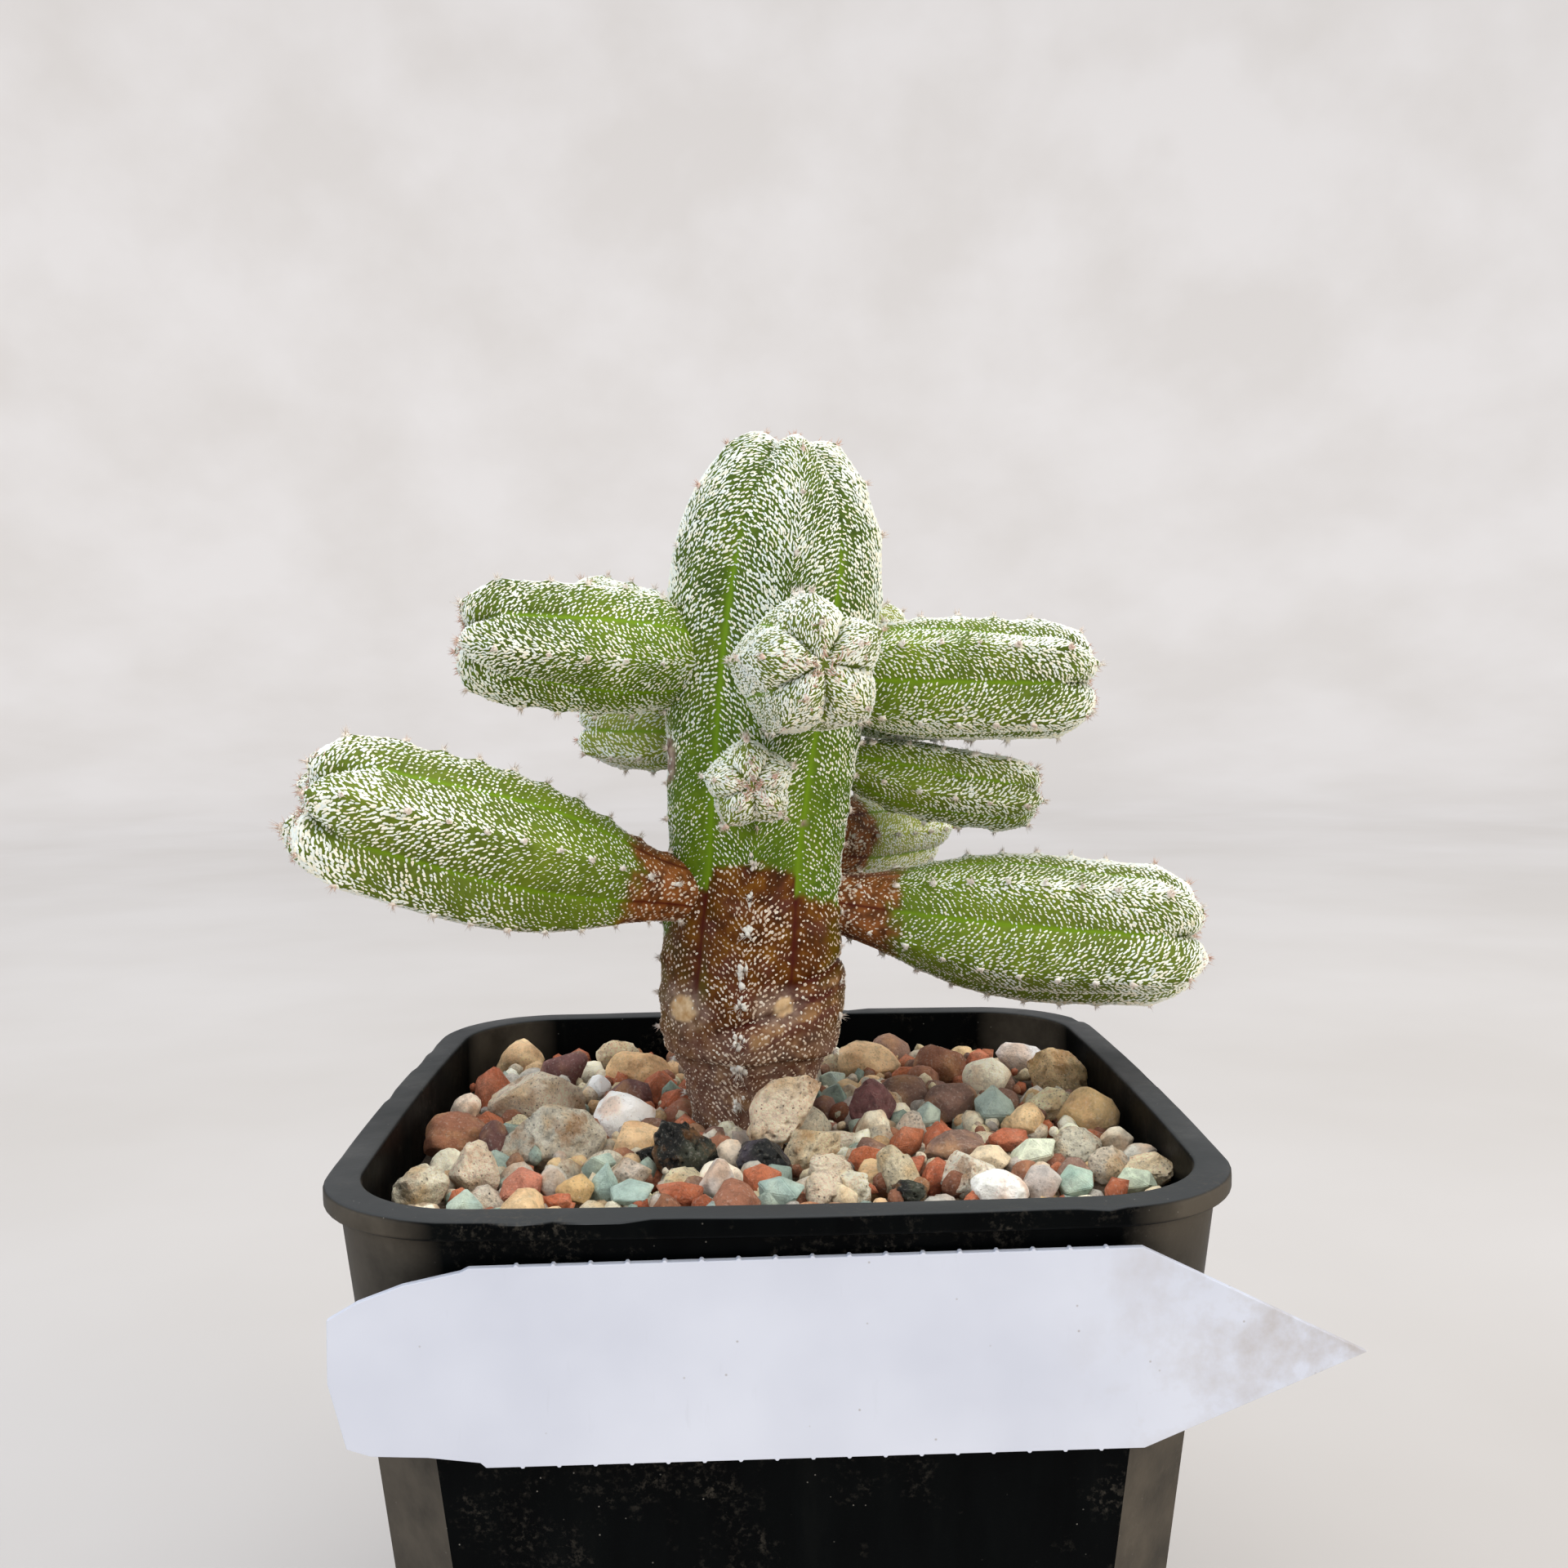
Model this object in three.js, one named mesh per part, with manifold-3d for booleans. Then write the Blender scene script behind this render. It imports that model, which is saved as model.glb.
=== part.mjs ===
// A potted monstrose bishop's cap cactus: a five-ribbed stem with twelve ribbed offsets, rooted in
// mixed gravel in a square nursery pot, with a blank plant label on the pot's front wall.
// Millimetres, +Z up. The origin is the centre of the pot's underside and -Y is the front.
import * as THREE from "three";
import { mergeVertices } from "three/addons/utils/BufferGeometryUtils.js";
import Module from "manifold-3d";

const wasm = await Module();
wasm.setup();

// Clearance between neighbouring pieces that touch in the real plant.
const GAP = 0.3;

// Vertices of a shape closer together than this are one.
const MERGE_DISTANCE = 1e-4;

// Pot: a thin moulded square cup, with a rounded lip on top, a collar with round corners under it and
// a body with flat chamfers down its corners, a small step further in.
const POT_HEIGHT = 65;
const LIP_HALF = 35;
const LIP_CORNER = 11.8;
const LIP_DROP = 1.6;
const LIP_ROUND = 0.4;
const OPENING_HALF = 32.3;
const OPENING_CORNER = 9.85;
const WALL_TOP_HALF = 33.85;
const WALL_THICK = 0.9;
const WALL_TAPER = 0.096;
const SIDE_BULGE = 0.4;
const COLLAR_BOTTOM = 52;
const COLLAR_STEP = 0.65;
const STEP_DROP = 1.2;
const CHAMFER_LEG = 6;
const FLOOR_THICK = 1.2;
const CORNER_STEPS = 5;
const SIDE_STEPS = 4;
const DRAIN_RADIUS = 2.5;
const DRAIN_OFFSET = 14;

// Ribs: the relief of a limb falls from a crest to the furrow between two crests.
const RIBS = 5;
const RIB_STEP = 360 / RIBS;
const CREST_SHARE = 0.35;
const RELIEF_POWER = 0.9;
const CREST_VARIATION = 0.1;
const WARP_DEGREES = 3;
const AREOLE_PITCH = 3.3;
const RIB_POINTS = 4;
const TOOTH_HEIGHT = 0.3;

// Forms give how sharp the crests are and how blunt the dome is, the crest radius along the body, as
// shares of its length and of the limb's radius, and the depth of the furrows, as a share of the
// radius there.
const FORMS = {
  club: {
    crestEdge: 0.8,
    domePower: 2.9,
    body: [[0, 0.38], [0.12, 0.45], [0.22, 0.56], [0.36, 0.76], [0.52, 0.94], [0.72, 1.03], [1, 1]],
    depth: [[0, 0.03], [0.25, 0.08], [0.6, 0.14], [1, 0.22]],
  },
  bud: {
    crestEdge: 0.7,
    domePower: 2.7,
    body: [[0, 0.42], [0.15, 0.64], [0.3, 0.86], [0.5, 1], [0.8, 1.02], [1, 1]],
    depth: [[0, 0.05], [0.5, 0.14], [1, 0.22]],
  },
  barrel: {
    crestEdge: 0.8,
    domePower: 2.8,
    body: [[0, 0.66], [0.15, 0.86], [0.35, 0.98], [0.6, 1.03], [1, 1]],
    depth: [[0, 0.06], [0.5, 0.15], [1, 0.25]],
  },
  stem: {
    crestEdge: 0.35,
    domePower: 2.25,
    body: [
      [0, 0.56], [0.12, 0.63], [0.17, 0.71], [0.21, 0.83], [0.32, 0.86], [0.44, 0.845],
      [0.54, 0.82], [0.63, 0.86], [0.73, 0.9], [0.85, 0.97], [0.95, 1], [1, 1],
    ],
    depth: [[0, 0.02], [0.2, 0.07], [0.4, 0.11], [1, 0.14]],
  },
};

// Stem: its foot stands in the gravel, and a short taproot carries on below it.
const STEM_X = -2;
const STEM_Y = 5.5;
const STEM_FOOT = POT_HEIGHT - 8;
const STEM_TOP = POT_HEIGHT + 60.5;
const STEM_TOP_X = 2.2;
const STEM_BEND_X = -2.2;
const STEM_RADIUS = 10.2;
const TAPROOT = [[0, -24], [1.1, -23.4], [2.4, -18], [4.4, -12], [6.2, -8.6], [6.2, -7.2], [0, -7.2]];
const TAPROOT_SHOULDER = -10;
const TAPROOT_SIDES = 10;
const STEM = {
  base: new THREE.Vector3(STEM_X, STEM_Y, STEM_FOOT),
  bend: new THREE.Vector3(STEM_BEND_X, STEM_Y, (STEM_FOOT + STEM_TOP) / 2),
  tip: new THREE.Vector3(STEM_TOP_X, STEM_Y, STEM_TOP),
  front: new THREE.Vector3(0, -1, 0),
  radius: STEM_RADIUS,
  dome: 15,
  domeSteps: 8,
  form: FORMS.stem,
  roll: [-14, 14],
  tooth: TOOTH_HEIGHT,
  seed: 3,
};

// Offsets: each grows from a rib of the stem, at an azimuth from the front towards +X and a height
// over the pot's lip, and ends at its tip, whose height is over the lip too. The sag lifts or
// drops the middle, and the roll turns the first crest from the upper side.
const NECK_DEPTH = 2.2;
const LARGE_RADIUS = 6;
const OFFSET_SEED = 20;
const OFFSETS = {
  offset_left_low: {
    azimuth: -64, height: 17.8, tip: [-39.4, -12.5, 28.2], sag: -0.5, radius: 7.2, roll: -3, form: "club",
  },
  offset_left_high: {
    azimuth: -68, height: 40, tip: [-27.6, -2, 42], sag: 0, radius: 5.85, roll: -28, form: "barrel",
  },
  offset_back_left_high: {
    azimuth: -138, height: 39.2, tip: [-20.9, 25.5, 45], sag: 0.3, radius: 4.8, roll: 8, form: "barrel",
  },
  offset_back_left_mid: {
    azimuth: -124, height: 32.8, tip: [-17.9, 17.2, 33], sag: -0.2, radius: 3.8, roll: 20, form: "bud",
  },
  offset_front_high: {
    azimuth: 16, height: 38.4, tip: [4.2, -20, 38.9], sag: 0, radius: 6, roll: 8, form: "barrel",
  },
  offset_front_low: {
    azimuth: -10, height: 28.6, tip: [-1.6, -12.6, 28.8], sag: 0, radius: 3.8, roll: 6, form: "bud",
  },
  offset_right_high: {
    azimuth: 84, height: 37.8, tip: [30.4, 3, 37.1], sag: 0, radius: 5.85, roll: -13, form: "barrel",
  },
  offset_right_mid: {
    azimuth: 98, height: 30.4, tip: [26, 7.5, 26.4], sag: -0.6, radius: 3.8, roll: 36, form: "bud",
  },
  offset_right_low: {
    azimuth: 84, height: 16.8, tip: [40.3, 2.5, 13.1], sag: -0.6, radius: 7.1, roll: 49, form: "club",
  },
  offset_back_right_low: {
    azimuth: 142, height: 22.2, tip: [18.1, 31, 21.2], sag: -0.2, radius: 4.3, roll: 15, form: "bud",
  },
  offset_back_right_high: {
    azimuth: 152, height: 41, tip: [14.3, 27.5, 41.4], sag: -0.3, radius: 4.7, roll: 25, form: "barrel",
  },
  offset_back_right_mid: {
    azimuth: 126, height: 35.5, tip: [22.4, 21.6, 34.5], sag: -0.2, radius: 3.7, roll: 5, form: "bud",
  },
};

// Gravel: the bed fills the pot to below the lip and stones stand out of its top.
const BED_LEVEL = POT_HEIGHT - 5.4;
const STONE_LEVEL = POT_HEIGHT - 3.4;
const STONE_JITTER = 0.34;
const STONE_LEAST_HEIGHT = 0.62;
const STONE_DEPTH_SHARE = 0.45;
const STONE_TILT = 0.5;
const FILLER_PITCH = 4.2;
const FILLER_LEAST = 3;
const FILLER_SPREAD = 2;
const FILLER_LEVEL = POT_HEIGHT - 4.7;
const FILLER_RISE = 0.9;
const FILLER_OVERLAP = 0.15;
const FILLER_SEED = 11;
const WALL_MARGIN = 1;
const HEAP_ROOM = 10;

// Stones that show by themselves, from the front row to the back: x, y, width and height, and for
// some how far they are lifted over the others and how steeply they lean.
const STONES = [
  [-29, -17.5, 5, 4], [-25.5, -13, 4.2, 5.4], [-21, -17.5, 4.2, 4], [-18.5, -16.5, 2.4, 3],
  [-16.5, -18.5, 3, 2.5], [-12, -19.5, 3.8, 2.2], [-14, -17.5, 2.7, 3], [-12.5, -14.5, 3.6, 3],
  [-15, -13.5, 3, 1.4, 0.5, 0.5], [-8, -20, 4, 2.4], [-8, -11, 5, 6, 0.4, 0.6], [-5, -17, 2.8, 3.6],
  [-4, -10, 2.7, 2.8], [-1, -11, 5.2, 4.6, 0.2], [-1.5, -16.5, 3.4, 2.4], [0, -20, 4.4, 2.6],
  [3.5, -19.5, 3.2, 3], [6, -18.5, 3.2, 3], [4.5, -14.5, 4.4, 3], [3, -9.5, 5.4, 4, 0.2, 0.5],
  [10, -16.5, 3.6, 5, 0.2, 0.7], [7.5, -11, 3, 2.6], [10.5, -20.5, 3, 2], [13, -16, 2.4, 3.2],
  [16, -17, 5.2, 4.4], [17.5, -20.5, 4.6, 2.6], [21, -19.5, 3.6, 3], [24, -19.5, 3.2, 2.6],
  [28.5, -19.5, 3.8, 2.4], [31, -16.5, 4.6, 3.6], [27.5, -15, 3.7, 3.2], [22, -11, 4.8, 3],
  [26, -9.5, 4.6, 3.6], [30, -8, 3, 2.6], [15.5, -8.5, 5, 3], [11.5, -7, 3.8, 3],
  [20.5, -7, 3.8, 2.2], [18, -12.5, 4, 2.4], [-19.5, -5, 9.6, 6.4], [-12.5, -5, 4.6, 3],
  [-25, -4.5, 3, 4], [-29, -2.5, 5.6, 5.2], [-9.8, -3.5, 3.2, 3], [0.8, -4.8, 8, 4.6, 2.5, 0.85],
  [9, -1.5, 3.2, 3], [23.5, -1, 3.4, 3.2], [29.5, 1, 5.2, 4.8], [14.5, 1, 3, 3], [-14, 2.5, 6, 5],
  [21, 3, 4.4, 4], [26.5, 5, 4.4, 4], [17, 6, 4.8, 4], [9.5, 3.5, 4.6, 5.4, 0.4], [13, 9, 5.2, 4.4],
  [-29.5, 7.5, 3, 3], [-22.5, 9, 9.6, 6], [-14, 11, 4.8, 3.6], [-11.5, 14, 3.8, 3.4],
  [-28, 13.5, 4.6, 4.6], [-17.5, 14.5, 2.8, 2.4], [22, 14.5, 5.2, 4.4], [29.5, 16, 7, 5],
  [18, 20.5, 5.2, 4.8], [-14, 21.5, 6.6, 4.4], [22.5, 23.5, 3.2, 2.8], [27, 23.5, 5, 3.6],
  [10.5, 23, 7, 3.4], [13.5, 28, 5, 3.6], [-4, 24, 5, 4], [3, 18, 4.4, 3.6], [-22, 22, 5, 4],
  [-8, 29, 5.4, 4], [2, 29, 4.6, 3.4], [-27, 27, 5, 4], [-17, 28.5, 4.6, 3.6],
  [11, 6.5, 3.4, 2.6], [-11, -9.5, 3, 2.2], [31, -12, 3, 2.2], [-17.5, -21, 2.4, 1.8],
];

// Label: a thin strip with one pointed end, flat on the pot's front wall. The outline is x and the
// height against the lip, measured up the sloping wall.
const LABEL_THICK = 0.5;
const LABEL_OUTLINE = [
  [-21.6, -18.8], [26.1, -18.5], [42.1, -11.4], [25.6, -3], [-22.3, -3.5], [-22.9, -3.8],
  [-27, -4.7], [-30.2, -5.9], [-32.4, -7.2], [-32.6, -12], [-31.5, -17.1], [-29.8, -17.7],
  [-25.7, -17.9], [-22, -18.4],
];

// A repeatable stream of numbers from 0 up to 1.
function makeRandom(seed) {
  let state = seed >>> 0;
  return () => {
    state = (Math.imul(state, 1664525) + 1013904223) >>> 0;
    return state / 4294967296;
  };
}

// A smooth curve through stations of [place, value].
function stationValue(stations, place) {
  const last = stations.length - 2;
  let i = 0;
  while (i < last && place > stations[i + 1][0]) i++;
  const slope = (k) => {
    const before = stations[Math.max(k - 1, 0)];
    const after = stations[Math.min(k + 1, stations.length - 1)];
    return (after[1] - before[1]) / (after[0] - before[0]);
  };
  const [x0, y0] = stations[i];
  const [x1, y1] = stations[i + 1];
  const step = x1 - x0;
  const t = Math.min(Math.max((place - x0) / step, 0), 1);
  const rise = y1 - y0;
  const a = slope(i) * step - rise;
  const b = rise - slope(i + 1) * step;
  return y0 + t * rise + t * (1 - t) * ((1 - t) * a + t * b);
}

// A closed solid from vertices and triangles.
function toSolid(vertices, triangles) {
  const mesh = { numProp: 3, vertProperties: new Float32Array(vertices.flat()) };
  return new wasm.Manifold(new wasm.Mesh({ ...mesh, triVerts: new Uint32Array(triangles.flat()) }));
}

// A closed solid from a three.js geometry.
function geometrySolid(geometry) {
  const bare = geometry.clone();
  bare.deleteAttribute("normal");
  bare.deleteAttribute("uv");
  const merged = mergeVertices(bare, MERGE_DISTANCE);
  const vertProperties = new Float32Array(merged.attributes.position.array);
  const triVerts = new Uint32Array(merged.index.array);
  return new wasm.Manifold(new wasm.Mesh({ numProp: 3, vertProperties, triVerts }));
}

// A named mesh from a solid.
function toMesh(name, solid, material) {
  const data = solid.getMesh();
  const positions = new Float32Array(data.numVert * 3);
  for (let i = 0; i < data.numVert; i++) {
    positions.set(data.vertProperties.subarray(i * data.numProp, i * data.numProp + 3), i * 3);
  }
  const geometry = new THREE.BufferGeometry();
  geometry.setAttribute("position", new THREE.BufferAttribute(positions, 3));
  geometry.setIndex(new THREE.BufferAttribute(new Uint32Array(data.triVerts), 1));
  geometry.computeVertexNormals();
  const mesh = new THREE.Mesh(geometry, new THREE.MeshStandardMaterial(material));
  mesh.name = name;
  return mesh;
}

const distance = (a, b) => Math.hypot(a[0] - b[0], a[1] - b[1], a[2] - b[2]);

// A solid skinned over rings of equal point counts, closed at both ends by a fan to its middle.
// Each four-sided patch is split along its shorter diagonal.
function loft(rings, start, end) {
  const count = rings[0].length;
  const vertices = rings.flat();
  const triangles = [];
  for (let ring = 0; ring + 1 < rings.length; ring++) {
    for (let i = 0; i < count; i++) {
      const a = ring * count + i;
      const b = ring * count + ((i + 1) % count);
      const rising = distance(vertices[a], vertices[b + count]);
      const falling = distance(vertices[b], vertices[a + count]);
      if (rising < falling) triangles.push([a, b, b + count], [a, b + count, a + count]);
      else triangles.push([a, b, a + count], [b, b + count, a + count]);
    }
  }
  const top = (rings.length - 1) * count;
  const startIndex = vertices.push(start) - 1;
  const endIndex = vertices.push(end) - 1;
  for (let i = 0; i < count; i++) {
    const next = (i + 1) % count;
    triangles.push([startIndex, next, i], [endIndex, top + i, top + next]);
  }
  return toSolid(vertices, triangles);
}

// A square ring of points whose corners go from round (flat = 0) to a straight chamfer (flat = 1),
// and whose sides swell out a little to their middle.
function squareRing(half, corner, flat, z) {
  const points = [];
  for (let quarter = 0; quarter < 4; quarter++) {
    const turn = (quarter * Math.PI) / 2;
    const place = (x, y) => {
      const turnedX = x * Math.cos(turn) - y * Math.sin(turn);
      const turnedY = x * Math.sin(turn) + y * Math.cos(turn);
      points.push([turnedX, turnedY, z]);
    };
    for (let i = 1; i < SIDE_STEPS; i++) {
      const along = (2 * i) / SIDE_STEPS - 1;
      const swell = SIDE_BULGE * (1 - flat) * (1 - along * along);
      place(half + swell, along * (half - corner));
    }
    for (let i = 0; i <= CORNER_STEPS; i++) {
      const share = i / CORNER_STEPS;
      const angle = (share * Math.PI) / 2;
      const x = half - corner + corner * THREE.MathUtils.lerp(Math.cos(angle), 1 - share, flat);
      const y = half - corner + corner * THREE.MathUtils.lerp(Math.sin(angle), share, flat);
      place(x, y);
    }
  }
  return points;
}

// Half width of the pot's collar, and of its body under the collar, on the outer face at a height.
const collarHalf = (z) => WALL_TOP_HALF - WALL_TAPER * (POT_HEIGHT - LIP_DROP - z);
const wallHalf = (z) => collarHalf(z) - COLLAR_STEP;

// Rings down the inside of the pot, moved in by an inset, from under the lip to the floor.
function cavityRings(inset) {
  const depth = WALL_THICK + inset;
  const rounded = OPENING_CORNER - inset;
  const stepBottom = COLLAR_BOTTOM - STEP_DROP;
  return [
    squareRing(collarHalf(COLLAR_BOTTOM) - depth, rounded, 0, COLLAR_BOTTOM),
    squareRing(wallHalf(stepBottom) - depth, CHAMFER_LEG, 1, stepBottom),
    squareRing(wallHalf(FLOOR_THICK) - depth, CHAMFER_LEG, 1, FLOOR_THICK),
  ];
}

function makePot() {
  const under = POT_HEIGHT - LIP_DROP;
  const rounded = OPENING_CORNER + WALL_THICK;
  const stepBottom = COLLAR_BOTTOM - STEP_DROP;
  const outside = [
    squareRing(wallHalf(0), CHAMFER_LEG, 1, 0),
    squareRing(wallHalf(stepBottom), CHAMFER_LEG, 1, stepBottom),
    squareRing(collarHalf(COLLAR_BOTTOM), rounded, 0, COLLAR_BOTTOM),
    squareRing(WALL_TOP_HALF, rounded, 0, under),
  ];
  const lip = [
    squareRing(LIP_HALF - LIP_ROUND, LIP_CORNER - LIP_ROUND, 0, under),
    squareRing(LIP_HALF, LIP_CORNER, 0, under + LIP_ROUND),
    squareRing(LIP_HALF, LIP_CORNER, 0, POT_HEIGHT - LIP_ROUND),
    squareRing(LIP_HALF - LIP_ROUND, LIP_CORNER - LIP_ROUND, 0, POT_HEIGHT),
    squareRing(OPENING_HALF + LIP_ROUND, OPENING_CORNER + LIP_ROUND, 0, POT_HEIGHT),
    squareRing(OPENING_HALF, OPENING_CORNER, 0, POT_HEIGHT - LIP_ROUND),
  ];
  const rings = [...outside, ...lip, ...cavityRings(0)];
  let pot = loft(rings, [0, 0, 0], [0, 0, FLOOR_THICK]);
  for (const x of [-DRAIN_OFFSET, DRAIN_OFFSET]) {
    for (const y of [-DRAIN_OFFSET, DRAIN_OFFSET]) {
      const hole = new THREE.CylinderGeometry(DRAIN_RADIUS, DRAIN_RADIUS, 4 * FLOOR_THICK, 16);
      hole.rotateX(Math.PI / 2).translate(x, y, FLOOR_THICK / 2);
      pot = pot.subtract(geometrySolid(hole));
    }
  }
  return pot;
}

// Height of each crest over the mean, drawn once for a limb.
function crestGains(limb) {
  const random = makeRandom(limb.seed);
  return Array.from({ length: RIBS }, () => (random() - 0.5) * CREST_VARIATION);
}

// Share of the length and crest radius at v: 0 to 1 up the body, 1 to 2 over the dome.
function limbProfile(limb, v) {
  const length = limb.base.distanceTo(limb.tip);
  const domeShare = limb.dome / length;
  if (v <= 1) {
    return [v * (1 - domeShare), limb.radius * stationValue(limb.form.body, v)];
  }
  const angle = ((v - 1) * Math.PI) / 2;
  const along = Math.pow(Math.sin(angle), 2 / limb.form.domePower);
  const across = Math.pow(Math.max(Math.cos(angle), 0), 2 / limb.form.domePower);
  const shoulder = limb.radius * stationValue(limb.form.body, 1);
  return [1 - domeShare * (1 - along), shoulder * across];
}

// Outward direction of the profile at v, as its share along the limb and across it.
function limbNormal(limb, v) {
  const length = limb.base.distanceTo(limb.tip);
  const step = 0.01;
  const before = limbProfile(limb, Math.max(v - step, 0));
  const after = limbProfile(limb, Math.min(v + step, 2));
  const along = (after[0] - before[0]) * length;
  const across = after[1] - before[1];
  const size = Math.hypot(along, across);
  return [-across / size, along / size];
}

// The point at a share of the length of the curve through a limb's middle.
function curvePoint(limb, share) {
  const point = limb.base.clone().multiplyScalar((1 - share) * (1 - share));
  point.addScaledVector(limb.bend, 2 * share * (1 - share));
  return point.addScaledVector(limb.tip, share * share);
}

// A point of the limb's surface; rib counts the crests round it and its halves are the furrows.
function limbPoint(limb, gains, v, rib, extra) {
  const [share, radius] = limbProfile(limb, v);
  const [axial, radial] = limbNormal(limb, v);
  const nearest = Math.round(rib);
  const across = 2 * Math.abs(rib - nearest);
  const crest = ((nearest % RIBS) + RIBS) % RIBS;
  const edge = limb.form.crestEdge;
  const sunk = edge * across + (1 - edge) * across * across;
  const shoulder = limb.radius * stationValue(limb.form.body, 1);
  const scale = v <= 1 ? radius : shoulder * Math.pow(radius / shoulder, RELIEF_POWER);
  const depth = stationValue(limb.form.depth, Math.min(v, 1));
  const phase = v <= 1 ? (v * limb.bodySteps) / 2 : (limb.bodySteps + (v - 1) * limb.domeSteps) / 2;
  const beat = 0.5 + 0.5 * Math.cos(2 * Math.PI * (phase + (crest % 2) / 2));
  const tooth = limb.tooth * beat * beat * Math.pow(Math.max(0, 1 - across / CREST_SHARE), 2);
  const fade = Math.min(1, radius / shoulder * 2);
  const push = scale * (gains[crest] * (1 - sunk) - depth * sunk) + tooth * fade + extra;

  const centre = curvePoint(limb, share);
  const tangent = limb.bend.clone().sub(limb.base).multiplyScalar(1 - share);
  tangent.addScaledVector(limb.tip.clone().sub(limb.bend), share).normalize();
  const front = limb.front.clone().addScaledVector(tangent, -limb.front.dot(tangent)).normalize();
  const side = tangent.clone().cross(front);
  const roll = THREE.MathUtils.lerp(limb.roll[0], limb.roll[1], share);
  const warp = WARP_DEGREES * Math.sin((4 * Math.PI * rib) / RIBS + limb.seed);
  const angle = THREE.MathUtils.degToRad(roll + RIB_STEP * rib + warp);
  const reach = radius + radial * push;
  centre.addScaledVector(tangent, axial * push);
  centre.addScaledVector(front, reach * Math.cos(angle));
  centre.addScaledVector(side, reach * Math.sin(angle));
  return centre.toArray();
}

// A ribbed limb as a solid, grown on all sides by extra.
function limbSolid(limb, extra) {
  const gains = crestGains(limb);
  const rings = [];
  for (let i = 0; i < limb.bodySteps + limb.domeSteps; i++) {
    const v = i <= limb.bodySteps ? i / limb.bodySteps : 1 + (i - limb.bodySteps) / limb.domeSteps;
    const ring = [];
    for (let j = 0; j < RIBS * RIB_POINTS; j++) {
      ring.push(limbPoint(limb, gains, v, j / RIB_POINTS, extra));
    }
    rings.push(ring);
  }
  const apex = limbPoint(limb, gains, 2, 0, extra);
  return loft(rings, limb.base.toArray(), apex);
}

// Adds to a limb the number of rings that puts a tooth on every areole.
function withSteps(limb) {
  const length = limb.base.distanceTo(limb.tip) - limb.dome;
  return { ...limb, bodySteps: Math.round((2 * length) / AREOLE_PITCH) };
}

// The stem's foot, which goes on into the gravel as a taproot.
function makeTaproot(extra) {
  const profile = TAPROOT.map(([r, z]) => {
    const away = z > TAPROOT_SHOULDER ? extra : -extra;
    return new THREE.Vector2(r === 0 ? 0 : r + extra, z + away);
  });
  const root = new THREE.LatheGeometry(profile, TAPROOT_SIDES);
  root.rotateX(Math.PI / 2).translate(STEM_X, STEM_Y, POT_HEIGHT);
  return geometrySolid(root);
}

function makeStem(extra) {
  return limbSolid(withSteps(STEM), extra).add(makeTaproot(extra));
}

// The limb of an offset, from its place on the stem to its tip.
function offsetLimb(offset, index) {
  const turn = THREE.MathUtils.degToRad(offset.azimuth);
  const outward = new THREE.Vector3(Math.sin(turn), -Math.cos(turn), 0);
  const share = (POT_HEIGHT + offset.height - STEM_FOOT) / (STEM_TOP - STEM_FOOT);
  const root = curvePoint(STEM, share);
  const stemLength = STEM.base.distanceTo(STEM.tip);
  const bodyShare = Math.min(share / (1 - STEM.dome / stemLength), 1);
  const stemRadius = STEM.radius * stationValue(STEM.form.body, bodyShare);
  const base = root.addScaledVector(outward, stemRadius - NECK_DEPTH);
  const tip = new THREE.Vector3(offset.tip[0], offset.tip[1], POT_HEIGHT + offset.tip[2]);
  const bend = base.clone().add(tip).multiplyScalar(0.5);
  bend.z += 2 * offset.sag;
  return withSteps({
    base,
    bend,
    tip,
    front: new THREE.Vector3(0, 0, 1),
    radius: offset.radius,
    dome: offset.radius,
    domeSteps: offset.radius > LARGE_RADIUS ? 5 : 4,
    form: FORMS[offset.form],
    roll: [offset.roll, offset.roll],
    tooth: TOOTH_HEIGHT,
    seed: OFFSET_SEED + index,
  });
}

// A stone: an icosahedron with its corners drawn in and out, turned, leant and set down.
function makeStone(stone, seed) {
  const random = makeRandom(seed);
  const [x, y, width, height, lift = 0, lean = null] = stone;
  const geometry = mergeVertices(bareIcosahedron(), MERGE_DISTANCE);
  const position = geometry.attributes.position;
  for (let i = 0; i < position.count; i++) {
    const swell = 1 + (random() - 0.5) * STONE_JITTER;
    position.setXYZ(i, position.getX(i) * swell, position.getY(i) * swell, position.getZ(i) * swell);
  }
  const tall = Math.max(height, STONE_LEAST_HEIGHT * width);
  const deep = (width + tall) * STONE_DEPTH_SHARE;
  geometry.scale(width / 2, deep / 2, tall / 2);
  geometry.rotateY(-(lean ?? (random() - 0.5) * STONE_TILT));
  geometry.rotateX((random() - 0.5) * STONE_TILT);
  geometry.translate(x, y, STONE_LEVEL + lift);
  return geometrySolid(geometry);
}

function bareIcosahedron() {
  const geometry = new THREE.IcosahedronGeometry(1, 0);
  geometry.deleteAttribute("normal");
  geometry.deleteAttribute("uv");
  return geometry;
}

// Whether a stone of a radius fits between the pot's walls at x, y.
function insidePot(x, y, radius) {
  const half = OPENING_HALF - WALL_MARGIN - radius;
  const cornerX = Math.max(Math.abs(x) - (half - OPENING_CORNER), 0);
  const cornerY = Math.max(Math.abs(y) - (half - OPENING_CORNER), 0);
  return Math.hypot(cornerX, cornerY) < OPENING_CORNER;
}

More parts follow.
